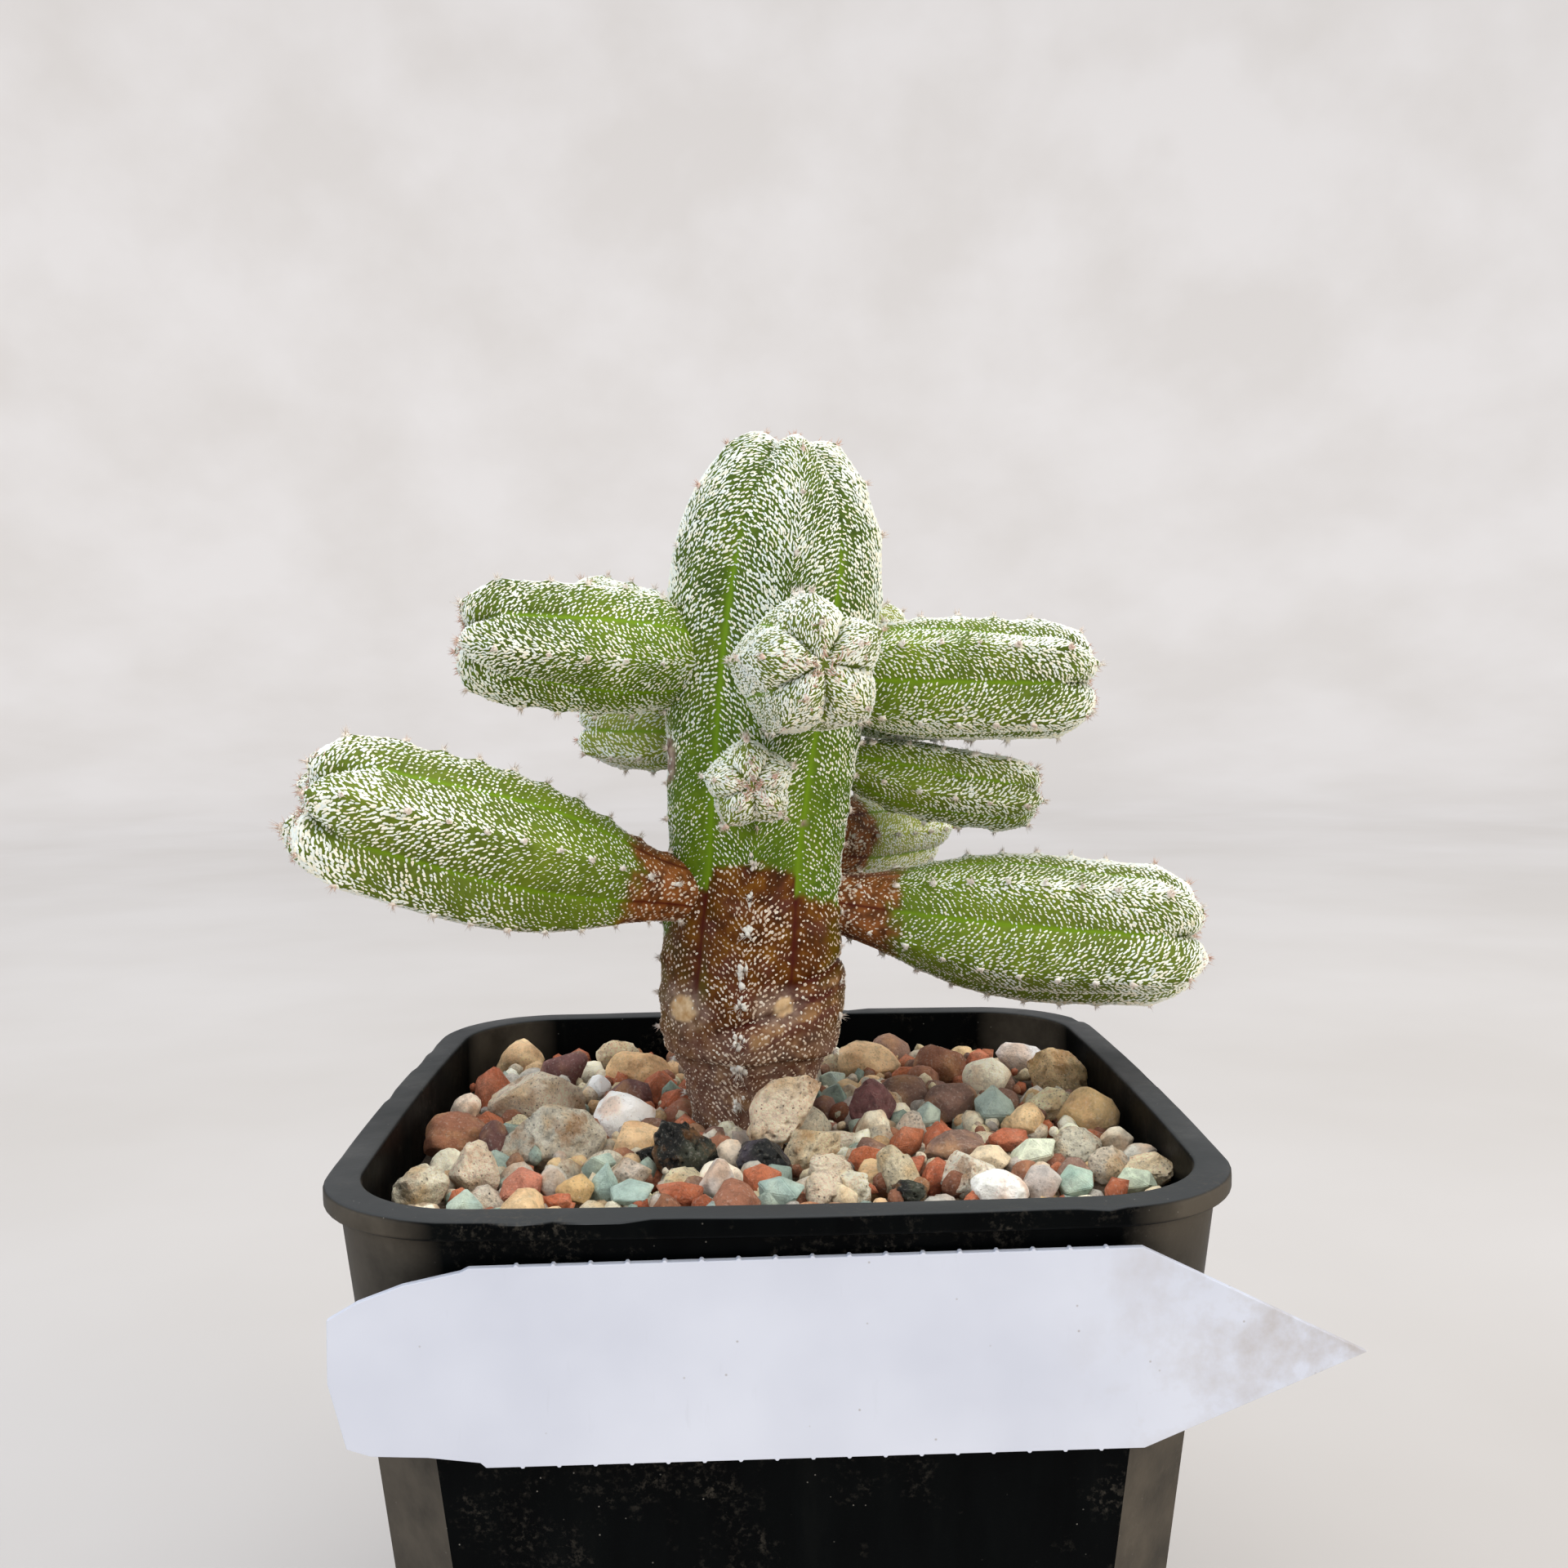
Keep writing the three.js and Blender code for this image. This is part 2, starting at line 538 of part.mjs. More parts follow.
// Small stones on a staggered grid, wherever no larger one lies.
function fillerStones() {
  const random = makeRandom(FILLER_SEED);
  const rows = Math.ceil(OPENING_HALF / FILLER_PITCH);
  const rowStep = FILLER_PITCH * Math.sin(Math.PI / 3);
  const fillers = [];
  for (let row = -rows - 1; row <= rows + 1; row++) {
    for (let column = -rows; column <= rows; column++) {
      const stagger = row % 2 === 0 ? 0 : 0.5;
      const x = (column + stagger + (random() - 0.5) * 0.5) * FILLER_PITCH;
      const y = (row + (random() - 0.5) * 0.5) * rowStep;
      const size = FILLER_LEAST + FILLER_SPREAD * random() * random();
      const rise = FILLER_LEVEL - STONE_LEVEL + (random() - 0.5) * FILLER_RISE;
      const taken = STONES.some(([hx, hy, width]) => {
        return Math.hypot(x - hx, y - hy) < width * 0.5 + size * FILLER_OVERLAP;
      });
      const inStem = Math.hypot(x - STEM_X, y - STEM_Y) < 0.6 * STEM_RADIUS;
      if (!taken && !inStem && insidePot(x, y, size / 2)) fillers.push([x, y, size, size, rise]);
    }
  }
  return fillers;
}

function makeGravel(stemSpace) {
  const filled = cavityRings(GAP).reverse();
  const rounded = OPENING_CORNER - GAP;
  const bedHalf = collarHalf(BED_LEVEL) - WALL_THICK - GAP;
  const open = squareRing(bedHalf, rounded, 0, BED_LEVEL);
  const bed = loft([...filled, open], [0, 0, FLOOR_THICK], [0, 0, BED_LEVEL]);
  const mouth = OPENING_HALF - GAP;
  const reach = [
    ...filled,
    squareRing(mouth, rounded, 0, POT_HEIGHT - LIP_ROUND),
    squareRing(mouth, rounded, 0, POT_HEIGHT + HEAP_ROOM),
  ];
  const room = loft(reach, [0, 0, FLOOR_THICK], [0, 0, POT_HEIGHT + HEAP_ROOM]);
  const stones = [...STONES, ...fillerStones()].map((stone, i) => makeStone(stone, i + 1));
  const heap = stones.reduce((sum, stone) => sum.add(stone), bed);
  const gravel = heap.intersect(room).subtract(stemSpace);
  const bodies = gravel.decompose().sort((a, b) => b.volume() - a.volume());
  return bodies[0];
}

function makeLabel() {
  const shape = new THREE.Shape(LABEL_OUTLINE.map(([x, y]) => new THREE.Vector2(x, y)));
  const strip = new THREE.ExtrudeGeometry(shape, { depth: LABEL_THICK, bevelEnabled: false });
  strip.rotateX(Math.PI / 2 + Math.atan(WALL_TAPER));
  strip.translate(0, -(collarHalf(POT_HEIGHT) + SIDE_BULGE + GAP), POT_HEIGHT);
  return geometrySolid(strip);
}

const GREEN = { color: 0x6f8f3f, roughness: 0.8, metalness: 0 };

const plant = new THREE.Group();
const stemSpace = makeStem(GAP);
plant.add(toMesh("main_stem", makeStem(0), GREEN));
Object.entries(OFFSETS).forEach(([name, offset], index) => {
  const limb = limbSolid(offsetLimb(offset, index), 0);
  plant.add(toMesh(name, limb.subtract(stemSpace), GREEN));
});

const part = new THREE.Group();
part.name = "potted_bishops_cap";
part.add(plant);
part.add(toMesh("pot", makePot(), { color: 0x17181a, roughness: 0.45, metalness: 0 }));
part.add(toMesh("gravel_bed", makeGravel(stemSpace), { color: 0xa8957c, roughness: 0.95, metalness: 0 }));
part.add(toMesh("plant_label", makeLabel(), { color: 0xf1f1f4, roughness: 0.6, metalness: 0 }));

export default part;
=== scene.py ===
# Looks of a potted monstrose bishop's cap: fine ribbed limbs with woolly flecks and areoles, mixed
# stones, the dusty black pot and its bare label, seen from the photograph's angle in soft daylight.
# Shapes are worked out in millimetres, as the CAD is, and go into Blender in metres.
import math
from dataclasses import dataclass

import bmesh
import bpy
import numpy as np
from mathutils import Matrix, Vector


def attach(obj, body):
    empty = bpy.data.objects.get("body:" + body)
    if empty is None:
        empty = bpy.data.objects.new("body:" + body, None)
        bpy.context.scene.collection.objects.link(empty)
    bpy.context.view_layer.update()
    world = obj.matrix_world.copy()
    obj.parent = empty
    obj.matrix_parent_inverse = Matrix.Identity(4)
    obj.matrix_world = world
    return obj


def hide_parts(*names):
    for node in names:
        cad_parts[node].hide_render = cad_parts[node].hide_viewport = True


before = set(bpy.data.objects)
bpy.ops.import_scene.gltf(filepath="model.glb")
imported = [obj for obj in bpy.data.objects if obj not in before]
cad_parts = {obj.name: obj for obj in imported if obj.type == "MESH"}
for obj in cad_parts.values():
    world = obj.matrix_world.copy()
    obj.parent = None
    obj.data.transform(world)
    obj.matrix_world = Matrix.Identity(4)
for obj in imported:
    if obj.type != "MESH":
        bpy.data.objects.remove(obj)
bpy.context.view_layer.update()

MM = 0.001

# Camera, in millimetres from the centre of the pot's underside and in radians.
CAMERA_PLACE = (-2.496, -144.736, 102.364)
CAMERA_YAW = 0.0264
CAMERA_PITCH = -0.0635
CAMERA_ROLL = -0.0123
CAMERA_LENS = 36.41
SENSOR_WIDTH = 36

# Pot, as in the CAD.
POT_HEIGHT = 65.0
LIP_HALF = 35.0
LIP_CORNER = 11.8
LIP_DROP = 1.6
OPENING_HALF = 32.3
OPENING_CORNER = 9.85
WALL_TOP_HALF = 33.85
WALL_THICK = 0.9
WALL_TAPER = 0.096
SIDE_BULGE = 0.4
LIP_ROUND = 0.35
FOOT_ROUND = 0.5
COLLAR_BOTTOM = 52.0
COLLAR_STEP = 0.65
STEP_DROP = 1.2
CHAMFER_LEG = 6.0
FLOOR_THICK = 1.2
DRAIN_RADIUS = 2.5
DRAIN_OFFSET = 14.0
DRAIN_SIDES = 32
POT_SHARP = 32
LIP_WAVE = 0.05
LIP_WEAR = 0.14
LIP_NICK = 0.2
GAP = 0.3

# Ribs, as in the CAD.
RIBS = 5
RIB_STEP = 360 / RIBS
CREST_SHARE = 0.35
RELIEF_POWER = 0.9
LOBE_DEPTH = 0.75
CROWN = 0.045
CROWN_PLACE = 0.74
CROWN_SPREAD = 0.17
APEX_SINK = 0.1
CREST_VARIATION = 0.1
WARP_DEGREES = 3.0
AREOLE_PITCH = 3.3
TOOTH = 0.3
NECK_DEPTH = 2.2

# Forms give how sharp the crests are, how blunt the dome is and how deeply it is lobed, how sparse the
# flecks get towards the base and how large they are, the crest radius along the body and the depth of
# the furrows, as shares of the limb's length and radius.
FORMS = {
    "club": {
        "edge": 0.8,
        "power": 2.9,
        "lobes": 1.0,
        "sparse": 1.0,
        "scale": 1.0,
        "body": [(0, 0.38), (0.12, 0.45), (0.22, 0.56), (0.36, 0.76), (0.52, 0.94), (0.72, 1.03), (1, 1)],
        "depth": [(0, 0.03), (0.25, 0.08), (0.6, 0.14), (1, 0.22)],
    },
    "bud": {
        "edge": 0.7,
        "power": 2.7,
        "lobes": 1.0,
        "sparse": 0.3,
        "scale": 0.86,
        "body": [(0, 0.42), (0.15, 0.64), (0.3, 0.86), (0.5, 1), (0.8, 1.02), (1, 1)],
        "depth": [(0, 0.05), (0.5, 0.14), (1, 0.22)],
    },
    "barrel": {
        "edge": 0.8,
        "power": 2.8,
        "lobes": 1.0,
        "sparse": 0.3,
        "scale": 0.86,
        "body": [(0, 0.66), (0.15, 0.86), (0.35, 0.98), (0.6, 1.03), (1, 1)],
        "depth": [(0, 0.06), (0.5, 0.15), (1, 0.25)],
    },
    "stem": {
        "edge": 0.35,
        "power": 2.25,
        "lobes": 0.4,
        "sparse": 1.0,
        "scale": 1.0,
        "body": [
            (0, 0.56), (0.12, 0.63), (0.17, 0.71), (0.21, 0.83), (0.32, 0.86), (0.44, 0.845),
            (0.54, 0.82), (0.63, 0.86), (0.73, 0.9), (0.85, 0.97), (0.95, 1), (1, 1),
        ],
        "depth": [(0, 0.02), (0.2, 0.07), (0.4, 0.11), (1, 0.14)],
    },
}

STEM_X = -2.0
STEM_Y = 5.5
STEM_FOOT = POT_HEIGHT - 8
STEM_TOP = POT_HEIGHT + 60.5
STEM_TOP_X = 2.2
STEM_BEND_X = -2.2
STEM_RADIUS = 10.2
STEM_DOME = 15.0
STEM_ROLL = (-14, 14)
STEM_SEED = 3
STEM_DOME_STEPS = 8
OFFSET_SEED = 20
LARGE_RADIUS = 6

# Offsets: azimuth from the front towards +X, height over the lip where each leaves the stem, tip with
# its height over the lip, sag, radius, roll and form.
OFFSETS = {
    "offset_left_low": (-64, 17.8, (-39.4, -12.5, 28.2), -0.5, 7.2, -3, "club"),
    "offset_left_high": (-68, 40, (-27.6, -2, 42), 0, 5.85, -28, "barrel"),
    "offset_back_left_high": (-138, 39.2, (-20.9, 25.5, 45), 0.3, 4.8, 8, "barrel"),
    "offset_back_left_mid": (-124, 32.8, (-17.9, 17.2, 33), -0.2, 3.8, 20, "bud"),
    "offset_front_high": (16, 38.4, (4.2, -20, 38.9), 0, 6, 8, "barrel"),
    "offset_front_low": (-10, 28.6, (-1.6, -12.6, 28.8), 0, 3.8, 6, "bud"),
    "offset_right_high": (84, 37.8, (30.4, 3, 37.1), 0, 5.85, -13, "barrel"),
    "offset_right_mid": (98, 30.4, (26, 7.5, 26.4), -0.6, 3.8, 36, "bud"),
    "offset_right_low": (84, 16.8, (40.3, 2.5, 13.1), -0.6, 7.1, 49, "club"),
    "offset_back_right_low": (142, 22.2, (18.1, 31, 21.2), -0.2, 4.3, 15, "bud"),
    "offset_back_right_high": (152, 41, (14.3, 27.5, 41.4), -0.3, 4.7, 25, "barrel"),
    "offset_back_right_mid": (126, 35.5, (22.4, 21.6, 34.5), -0.2, 3.7, 5, "bud"),
}

# How much of each offset's body is brown and corky, from its neck.
BROWN_NECKS = {
    "offset_left_low": 0.27,
    "offset_right_low": 0.24,
    "offset_back_right_low": 0.42,
    "offset_back_right_mid": 0.06,
}

# How much paler and yellower than the others an offset's skin is.
PALE_SKIN = {
    "offset_right_mid": 0.2,
    "offset_right_high": 0.1,
    "offset_left_high": 0.06,
    "offset_back_right_low": 0.85,
    "offset_back_right_high": 0.6,
    "offset_back_left_mid": 0.5,
    "offset_back_left_high": 0.3,
    "offset_front_low": 0.3,
    "offset_front_high": 0.2,
    "offset_left_low": 0.15,
    "offset_right_low": 0.15,
}

# Stem surface: brown up to a ragged line whose height over the lip is listed by rib, from the front.
BROWN_LINE = [(0, 21), (0.3, 20.6), (0.45, 20), (0.5, 18.3), (1, 16.5), (2, 15), (3, 15), (4, 13.5),
              (4.4, 18.4), (4.5, 18.5), (4.58, 20.8), (5, 21)]
SCARS = [(-8.2, 7.5, 2.5, 2.4), (1.0, 8.0, 1.8, 1.8)]
SCAR_MARGINS = [(-8.2, 7.5, 4.4, 4.2), (0.6, 7.8, 4.4, 3.4)]
CORK_SPOTS = [(-9.4, 30.5, 1.7, 4.4), (-4.3, 24.7, 0.6, 0.7), (3.05, 24.6, 0.6, 0.7)]
FOOT_RING = 2.2
FOOT_RING_DEPTH = 0.55
FOOT_RING_WIDTH = 0.45
FOOT_SHRINK = 0.35
SCAR_HEIGHT = 0.18
CREASES = [((8.8, 12.0), (1.9, 9.6)), ((5.4, 8.9), (-3.6, 6.0))]
CREASE_DEPTH = 0.5
CREASE_SPREAD = 0.4
CREASE_FADE = 1.3
FOLD_DROP = 1.7
FOLD_SPREAD = 1.1
FOLD_HEIGHT = 0.3

# Skin meshes: the step along a limb and the points across a rib, finer on the stem.
STEM_MESH = (0.38, 26)
OFFSET_MESH = (0.42, 18)

# Height, size, seed and octaves of the skin's small pits and swellings.
SKIN_PITS = [(0.035, 0.55, 3, 2), (0.05, 2.2, 13, 1)]

# Furrows are bare along their middle. The stem's furrow lines fade in above its foot.
FURROW_BARE = 0.36
OFFSET_FURROW_BARE = 0.45 * FURROW_BARE
FURROW_FADE = (0.25, 0.34)

# Flecks: woolly tufts in rows that run from each crest up to the furrow beside it, with the angles of
# the rows in degrees. On brown skin they stand further apart and less evenly. Their variation is the
# spread of their lengths, widths and heights.
PLANT_SEED = 7
FLECK_PITCH = 0.5
FLECK_STEP = 0.54
FLECK_SCATTER = (0.08, 0.07)
FLECK_TURN = 13
FLECK_LONG = 0.27
FLECK_WIDE = 0.114
FLECK_RAISE = 0.11
FLECK_VARIATION = (0.16, 0.13, 0.22)
FLECK_UNEVEN = 0.2
TOP_UNEVEN = 0.25
FLECK_ROOT = 0.035
FLECK_EDGE = 0.12
MISSING_SHARE = 0.03
BROWN_SPREAD = 1.3
BROWN_LOOSE = 1.3
ROW_ANGLE_CREST = 24
ROW_ANGLE_FURROW = 56

# Where flecks get sparser: heights over the lip on the stem, and places along an offset.
STEM_SPARSE = (42, 22)
OFFSET_SPARSE = (1.1, 0.3)

# Offsets whose tips are more or less woolly than the others, and whose flecks are sparser than their
# form's. The tip wool also paints light in: whiter on the left low offset as painted light from the
# left, and less white on the right low one as painted shade.
TIP_WOOL_AND_LIGHT = {"offset_left_low": 1.4, "offset_right_low": 0.85}
SPARSE = {"offset_right_mid": 0.8}

# A fleck's outline round its raised point, from its forward end, as shares of its length and width.
FLECK_RING = np.array([(1, 0), (0.35, 1), (-0.85, 0.7), (-0.85, -0.7), (0.35, -1)], float)
FLECK_TOP = 0.1
FLECK_CORNERS = len(FLECK_RING)
FLECK_FACES = np.array([(i, (i + 1) % FLECK_CORNERS, FLECK_CORNERS) for i in range(FLECK_CORNERS)])

# Areoles: a pad of wool with hairs and one or two spines at each tooth. The pad's shape and scatter
# and the length of its hairs are shares of the areole's size.
AREOLE_LOWEST = -4
AREOLE_HIGHEST = 1.97
AREOLE_SIZE = 0.26
WOOLLY_CREST = (26, 18)
PAD_LUMPS = 7
PAD_SHAPE = np.array([1.3, 0.9, 0.6])
PAD_SCATTER = np.array([1.1, 0.45, 0.1])
PAD_RISE = 0.03
HAIR_COUNT = 16
HAIR_LEAST = 1.5
HAIR_SPREAD = 1.4
HAIR_WIDTH = 0.036
SPINE_LEAST = 0.55
SPINE_SPREAD = 0.35
SPINE_WIDTH = 0.03
APEX_DEPTH = 0.32
APEX_HAIR_LEAST = 0.35
APEX_HAIR_SPREAD = 0.45
APEX_HAIR_WIDTH = 0.055
STEM_APEX_HAIRS = 70
OFFSET_APEX_HAIRS = 170

# Stones, as in the CAD: kind, colour, x, y, width, height, and for some the lift and the lean.
STONE_LEVEL = POT_HEIGHT - 3.4
STONE_JITTER = 0.34
STONE_LEAST_HEIGHT = 0.62
STONE_DEPTH_SHARE = 0.45
STONE_TILT = 0.5
FILLER_PITCH = 4.2
FILLER_LEAST = 3.0
FILLER_SPREAD = 2.0
FILLER_LEVEL = POT_HEIGHT - 4.7
FILLER_RISE = 0.9
FILLER_OVERLAP = 0.15
FILLER_SEED = 11
FILLER_CLEAR = 0.6 * STEM_RADIUS
WALL_MARGIN = 1.0
STONES = [
    ("pumice", "cream", -29, -17.5, 5, 4), ("pumice", "beige", -25.5, -13, 4.2, 5.4),
    ("chip", "rose", -21, -17.5, 4.2, 4), ("pebble", "grey", -18.5, -16.5, 2.4, 3),
    ("pebble", "ochre", -16.5, -18.5, 3, 2.5), ("shard", "green", -12, -19.5, 3.8, 2.2),
    ("shard", "green", -14, -17.5, 2.7, 3), ("pumice", "pinkish", -12.5, -14.5, 3.6, 3),
    ("shard", "green", -15, -13.5, 3, 1.4, 0.5, 0.5), ("chip", "rust", -8, -20, 4, 2.4),
    ("lava", "black", -8, -11, 5, 6, 0.4, 0.6), ("pebble", "grey", -5, -17, 2.8, 3.6),
    ("pebble", "beige", -4, -10, 2.7, 2.8), ("glossy", "black", -1, -11, 5.2, 4.6, 0.2),
    ("chip", "rust", -1.5, -16.5, 3.4, 2.4), ("shard", "green", 0, -20, 4.4, 2.6),
    ("pumice", "beige", 3.5, -19.5, 3.2, 3), ("pumice", "cream", 6, -18.5, 3.2, 3),
    ("pumice", "beige", 4.5, -14.5, 4.4, 3), ("pumice", "sand", 3, -9.5, 5.4, 4, 0.2, 0.5),
    ("pumice", "sand", 10, -16.5, 3.6, 5, 0.2, 0.7), ("chip", "rust", 7.5, -11, 3, 2.6),
    ("lava", "black", 10.5, -20.5, 3, 2), ("chip", "rust", 13, -16, 2.4, 3.2),
    ("pumice", "cream", 16, -17, 5.2, 4.4), ("pebble", "white", 17.5, -20.5, 4.6, 2.6),
    ("pebble", "grey", 21, -19.5, 3.6, 3), ("shard", "green", 24, -19.5, 3.2, 2.6),
    ("shard", "pale", 28.5, -19.5, 3.8, 2.4), ("pumice", "sand", 31, -16.5, 4.6, 3.6),
    ("pumice", "beige", 27.5, -15, 3.7, 3.2), ("shard", "pale", 22, -11, 4.8, 3),
    ("pumice", "stone", 26, -9.5, 4.6, 3.6), ("pebble", "beige", 30, -8, 3, 2.6),
    ("pebble", "umber", 15.5, -8.5, 5, 3), ("chip", "rust", 11.5, -7, 3.8, 3),
    ("chip", "rust", 20.5, -7, 3.8, 2.2), ("pebble", "sand", 18, -12.5, 4, 2.4),
    ("pumice", "stone", -19.5, -5, 9.6, 6.4), ("pebble", "tan", -12.5, -5, 4.6, 3),
    ("pebble", "plum", -25, -4.5, 3, 4), ("pebble", "brown", -29, -2.5, 5.6, 5.2),
    ("shard", "pale", -9.8, -3.5, 3.2, 3), ("pumice", "sand", 0.8, -4.8, 8, 4.6, 2.5, 0.85),
    ("pebble", "beige", 9, -1.5, 3.2, 3), ("pebble", "tan", 23.5, -1, 3.4, 3.2),
    ("pebble", "ochre", 29.5, 1, 5.2, 4.8), ("shard", "green", 14.5, 1, 3, 3),
    ("pebble", "white", -14, 2.5, 6, 5), ("shard", "green", 21, 3, 4.4, 4),
    ("pumice", "sand", 26.5, 5, 4.4, 4), ("pebble", "umber", 17, 6, 4.8, 4),
    ("glossy", "plum", 9.5, 3.5, 4.6, 5.4, 0.4), ("pebble", "umber", 13, 9, 5.2, 4.4),
    ("pebble", "beige", -29.5, 7.5, 3, 3), ("pumice", "beige", -22.5, 9, 9.6, 6),
    ("pebble", "plum", -14, 11, 4.8, 3.6), ("chip", "rust", -11.5, 14, 3.8, 3.4),
    ("chip", "rust", -28, 13.5, 4.6, 4.6), ("pebble", "white", -17.5, 14.5, 2.8, 2.4),
    ("pebble", "cream", 22, 14.5, 5.2, 4.4), ("pumice", "tan", 29.5, 16, 7, 5),
    ("pebble", "brown", 18, 20.5, 5.2, 4.8), ("pebble", "ochre", -14, 21.5, 6.6, 4.4),
    ("chip", "rust", 22.5, 23.5, 3.2, 2.8), ("pebble", "white", 27, 23.5, 5, 3.6),
    ("pebble", "tan", 10.5, 23, 7, 3.4), ("pebble", "umber", 13.5, 28, 5, 3.6),
    ("pumice", "stone", -4, 24, 5, 4), ("pebble", "grey", 3, 18, 4.4, 3.6),
    ("pebble", "plum", -22, 22, 5, 4), ("pebble", "brown", -8, 29, 5.4, 4),
    ("pumice", "beige", 2, 29, 4.6, 3.4), ("pebble", "tan", -27, 27, 5, 4),
    ("pumice", "sand", -17, 28.5, 4.6, 3.6), ("pumice", "beige", 11, 6.5, 3.4, 2.6),
    ("lava", "black", -11, -9.5, 3, 2.2), ("pebble", "grey", 31, -12, 3, 2.2),
    ("chip", "rust", -17.5, -21, 2.4, 1.8),
]
STONE_COLOURS = {
    "cream": (252, 244, 220), "beige": (236, 222, 198), "rose": (208, 136, 112), "grey": (200, 193, 184),
    "ochre": (216, 182, 132), "green": (158, 178, 168), "pinkish": (222, 204, 192),
    "rust": (192, 112, 80), "black": (36, 38, 38), "sand": (242, 226, 192), "white": (255, 253, 248),
    "pale": (212, 220, 196), "stone": (214, 204, 186), "umber": (134, 104, 92), "tan": (228, 196, 152),
    "plum": (116, 80, 78), "brown": (152, 102, 80),
}
FILLER_KINDS = [
    ("pumice", "beige"), ("pumice", "sand"), ("pebble", "tan"), ("pebble", "grey"), ("chip", "rust"),
    ("shard", "green"), ("pebble", "umber"), ("pumice", "stone"), ("pebble", "cream"),
    ("pebble", "brown"),
]
GRIT_SEED = 23
GRIT_COUNT = 1050
GRIT_LEAST = 0.9
GRIT_SPREAD = 1.7
GRIT_LEVEL = -1.9
GRIT_RISE = 1.6
GRIT_FIRST_SEED = 2000
GRIT_CLEAR = 0.55 * STEM_RADIUS
BED_DROP = 6.4
# The bed's colour is dark: brown soil with painted shade between the stones.
BED_SOIL_AND_SHADE_COLOUR = (96, 80, 64)
DIP_SHARES = (0.0, 0.2, 0.4, 0.6, 0.8)
DIP_DEPTH = 0.4
STONE_GAIN = 1.28

# How finely a stone's faces are cut: most on wide ones in front and least on grit. Chips and shards
# have bevelled edges instead. Where flat faces merge and where edges are sharp is in degrees.
FINE_CUT = 5
MIDDLE_CUT = 4
PLAIN_CUT = 3
GRIT_CUT = 2
FINE_WIDTH = 4.2
LARGE_WIDTH = 6
FAR_Y = 8
BROKEN_BEVEL = 0.05
BROKEN_EDGE = 0.3
BROKEN_MERGE = 14
STONE_SHARP = 30

# Colours of the patches on each kind of stone.
STONE_ACCENTS = {
    "pumice": (206, 166, 108), "pebble": (196, 150, 108), "shard": (206, 216, 196),
    "chip": (214, 150, 122), "lava": (92, 96, 80), "glossy": (92, 84, 96),
}
PATCH_SHARE = 0.55

# Facets, their least and greatest depth, size of the lumps, lump height, grain height and pore depth.
STONE_FORMS = {
    "pumice": (13, 0.62, 0.94, 0.5, 0.24, 0.055, 0.16),
    "pebble": (9, 0.68, 0.96, 0.7, 0.16, 0.025, 0.03),
    "lava": (10, 0.6, 0.92, 0.45, 0.26, 0.12, 0.4),
    "glossy": (14, 0.5, 0.88, 0.5, 0.2, 0.08, 0.14),
}

# Roughness, specks, pores and grain of each kind's surface.
STONE_SURFACES = {
    "pumice": (0.95, 0.5, 0.9, 1.0),
    "pebble": (0.75, 0.35, 0.15, 0.4),
    "shard": (0.6, 0.15, 0.0, 0.3),
    "chip": (0.85, 0.3, 0.2, 0.7),
    "lava": (0.55, 0.4, 0.6, 1.0),
    "glossy": (0.35, 0.2, 0.0, 0.6),
    "grit": (0.9, 0.4, 0.2, 0.6),
}

# The order in which the CAD's icosahedron meets its twelve corners, and those corners.
GOLDEN = (1 + math.sqrt(5)) / 2
ICO_CORNERS = np.array([
    (-1, GOLDEN, 0), (1, GOLDEN, 0), (-1, -GOLDEN, 0), (1, -GOLDEN, 0), (0, -1, GOLDEN),
    (0, 1, GOLDEN), (0, -1, -GOLDEN), (0, 1, -GOLDEN), (GOLDEN, 0, -1), (GOLDEN, 0, 1),
    (-GOLDEN, 0, -1), (-GOLDEN, 0, 1),
]) / math.hypot(1, GOLDEN)
ICO_ORDER = [11, 5, 0, 1, 7, 10, 9, 4, 2, 6, 8, 3]

# Label, as in the CAD: x and the height against the lip, up the sloping wall.
LABEL_THICK = 0.5
LABEL_BEVEL = 0.06
LABEL_OUTLINE = [
    (-21.6, -18.8), (26.1, -18.5), (42.1, -11.4), (25.6, -3), (-22.3, -3.5), (-22.9, -3.8),
    (-27, -4.7), (-30.2, -5.9), (-32.4, -7.2), (-32.6, -12), (-31.5, -17.1), (-29.8, -17.7),
    (-25.7, -17.9), (-22, -18.4),
]
NUB_PITCH = 2.62
NUB_SIZE = 0.17

# Backdrop: a round floor that bends up into a wall.
STAGE_MIDDLE = 200.0
STAGE_FLOOR = 1100.0
STAGE_BEND = 700.0
STAGE_TOP = 2600.0
STAGE_DROP = 0.02
STAGE_SIDES = 72
STAGE_STEPS = 12

# Lights: place and size in metres, power in watts and linear colour. All are aimed at one point.
LIGHT_TARGET = (0, 0, 0.07)
LIGHTS = {
    "overhead": ((0.05, -0.1, 0.9), 0.9, 5.5, (1.0, 0.99, 0.97)),
    "left_window": ((-0.85, -0.45, 0.45), 0.7, 3.0, (0.82, 0.92, 1.0)),
    "warm_bounce": ((0.15, -0.45, -0.3), 0.6, 1.6, (1.0, 0.84, 0.62)),
    "right_window": ((0.8, -0.5, 0.5), 0.5, 4.0, (1.0, 0.93, 0.78)),
}
SKY_COLOUR = (0.97, 0.98, 1.0, 1)
SKY_STRENGTH = 0.7


def linear(red, green, blue):
    """Linear colour of an 8-bit screen colour."""
    shares = (red / 255, green / 255, blue / 255)
    values = [v / 12.92 if v <= 0.04045 else ((v + 0.055) / 1.055) ** 2.4 for v in shares]
    return (*values, 1.0)


def make_random(seed):
    """The CAD's repeatable stream of numbers from 0 up to 1."""
    state = seed & 0xFFFFFFFF

    def draw():
        nonlocal state
        state = (state * 1664525 + 1013904223) & 0xFFFFFFFF
        return state / 4294967296

    return draw


def smooth(low, high, value):
    """0 below low, 1 above high and an easy curve between."""
    share = np.clip((np.asarray(value, float) - low) / (high - low), 0, 1)
    return share * share * (3 - 2 * share)


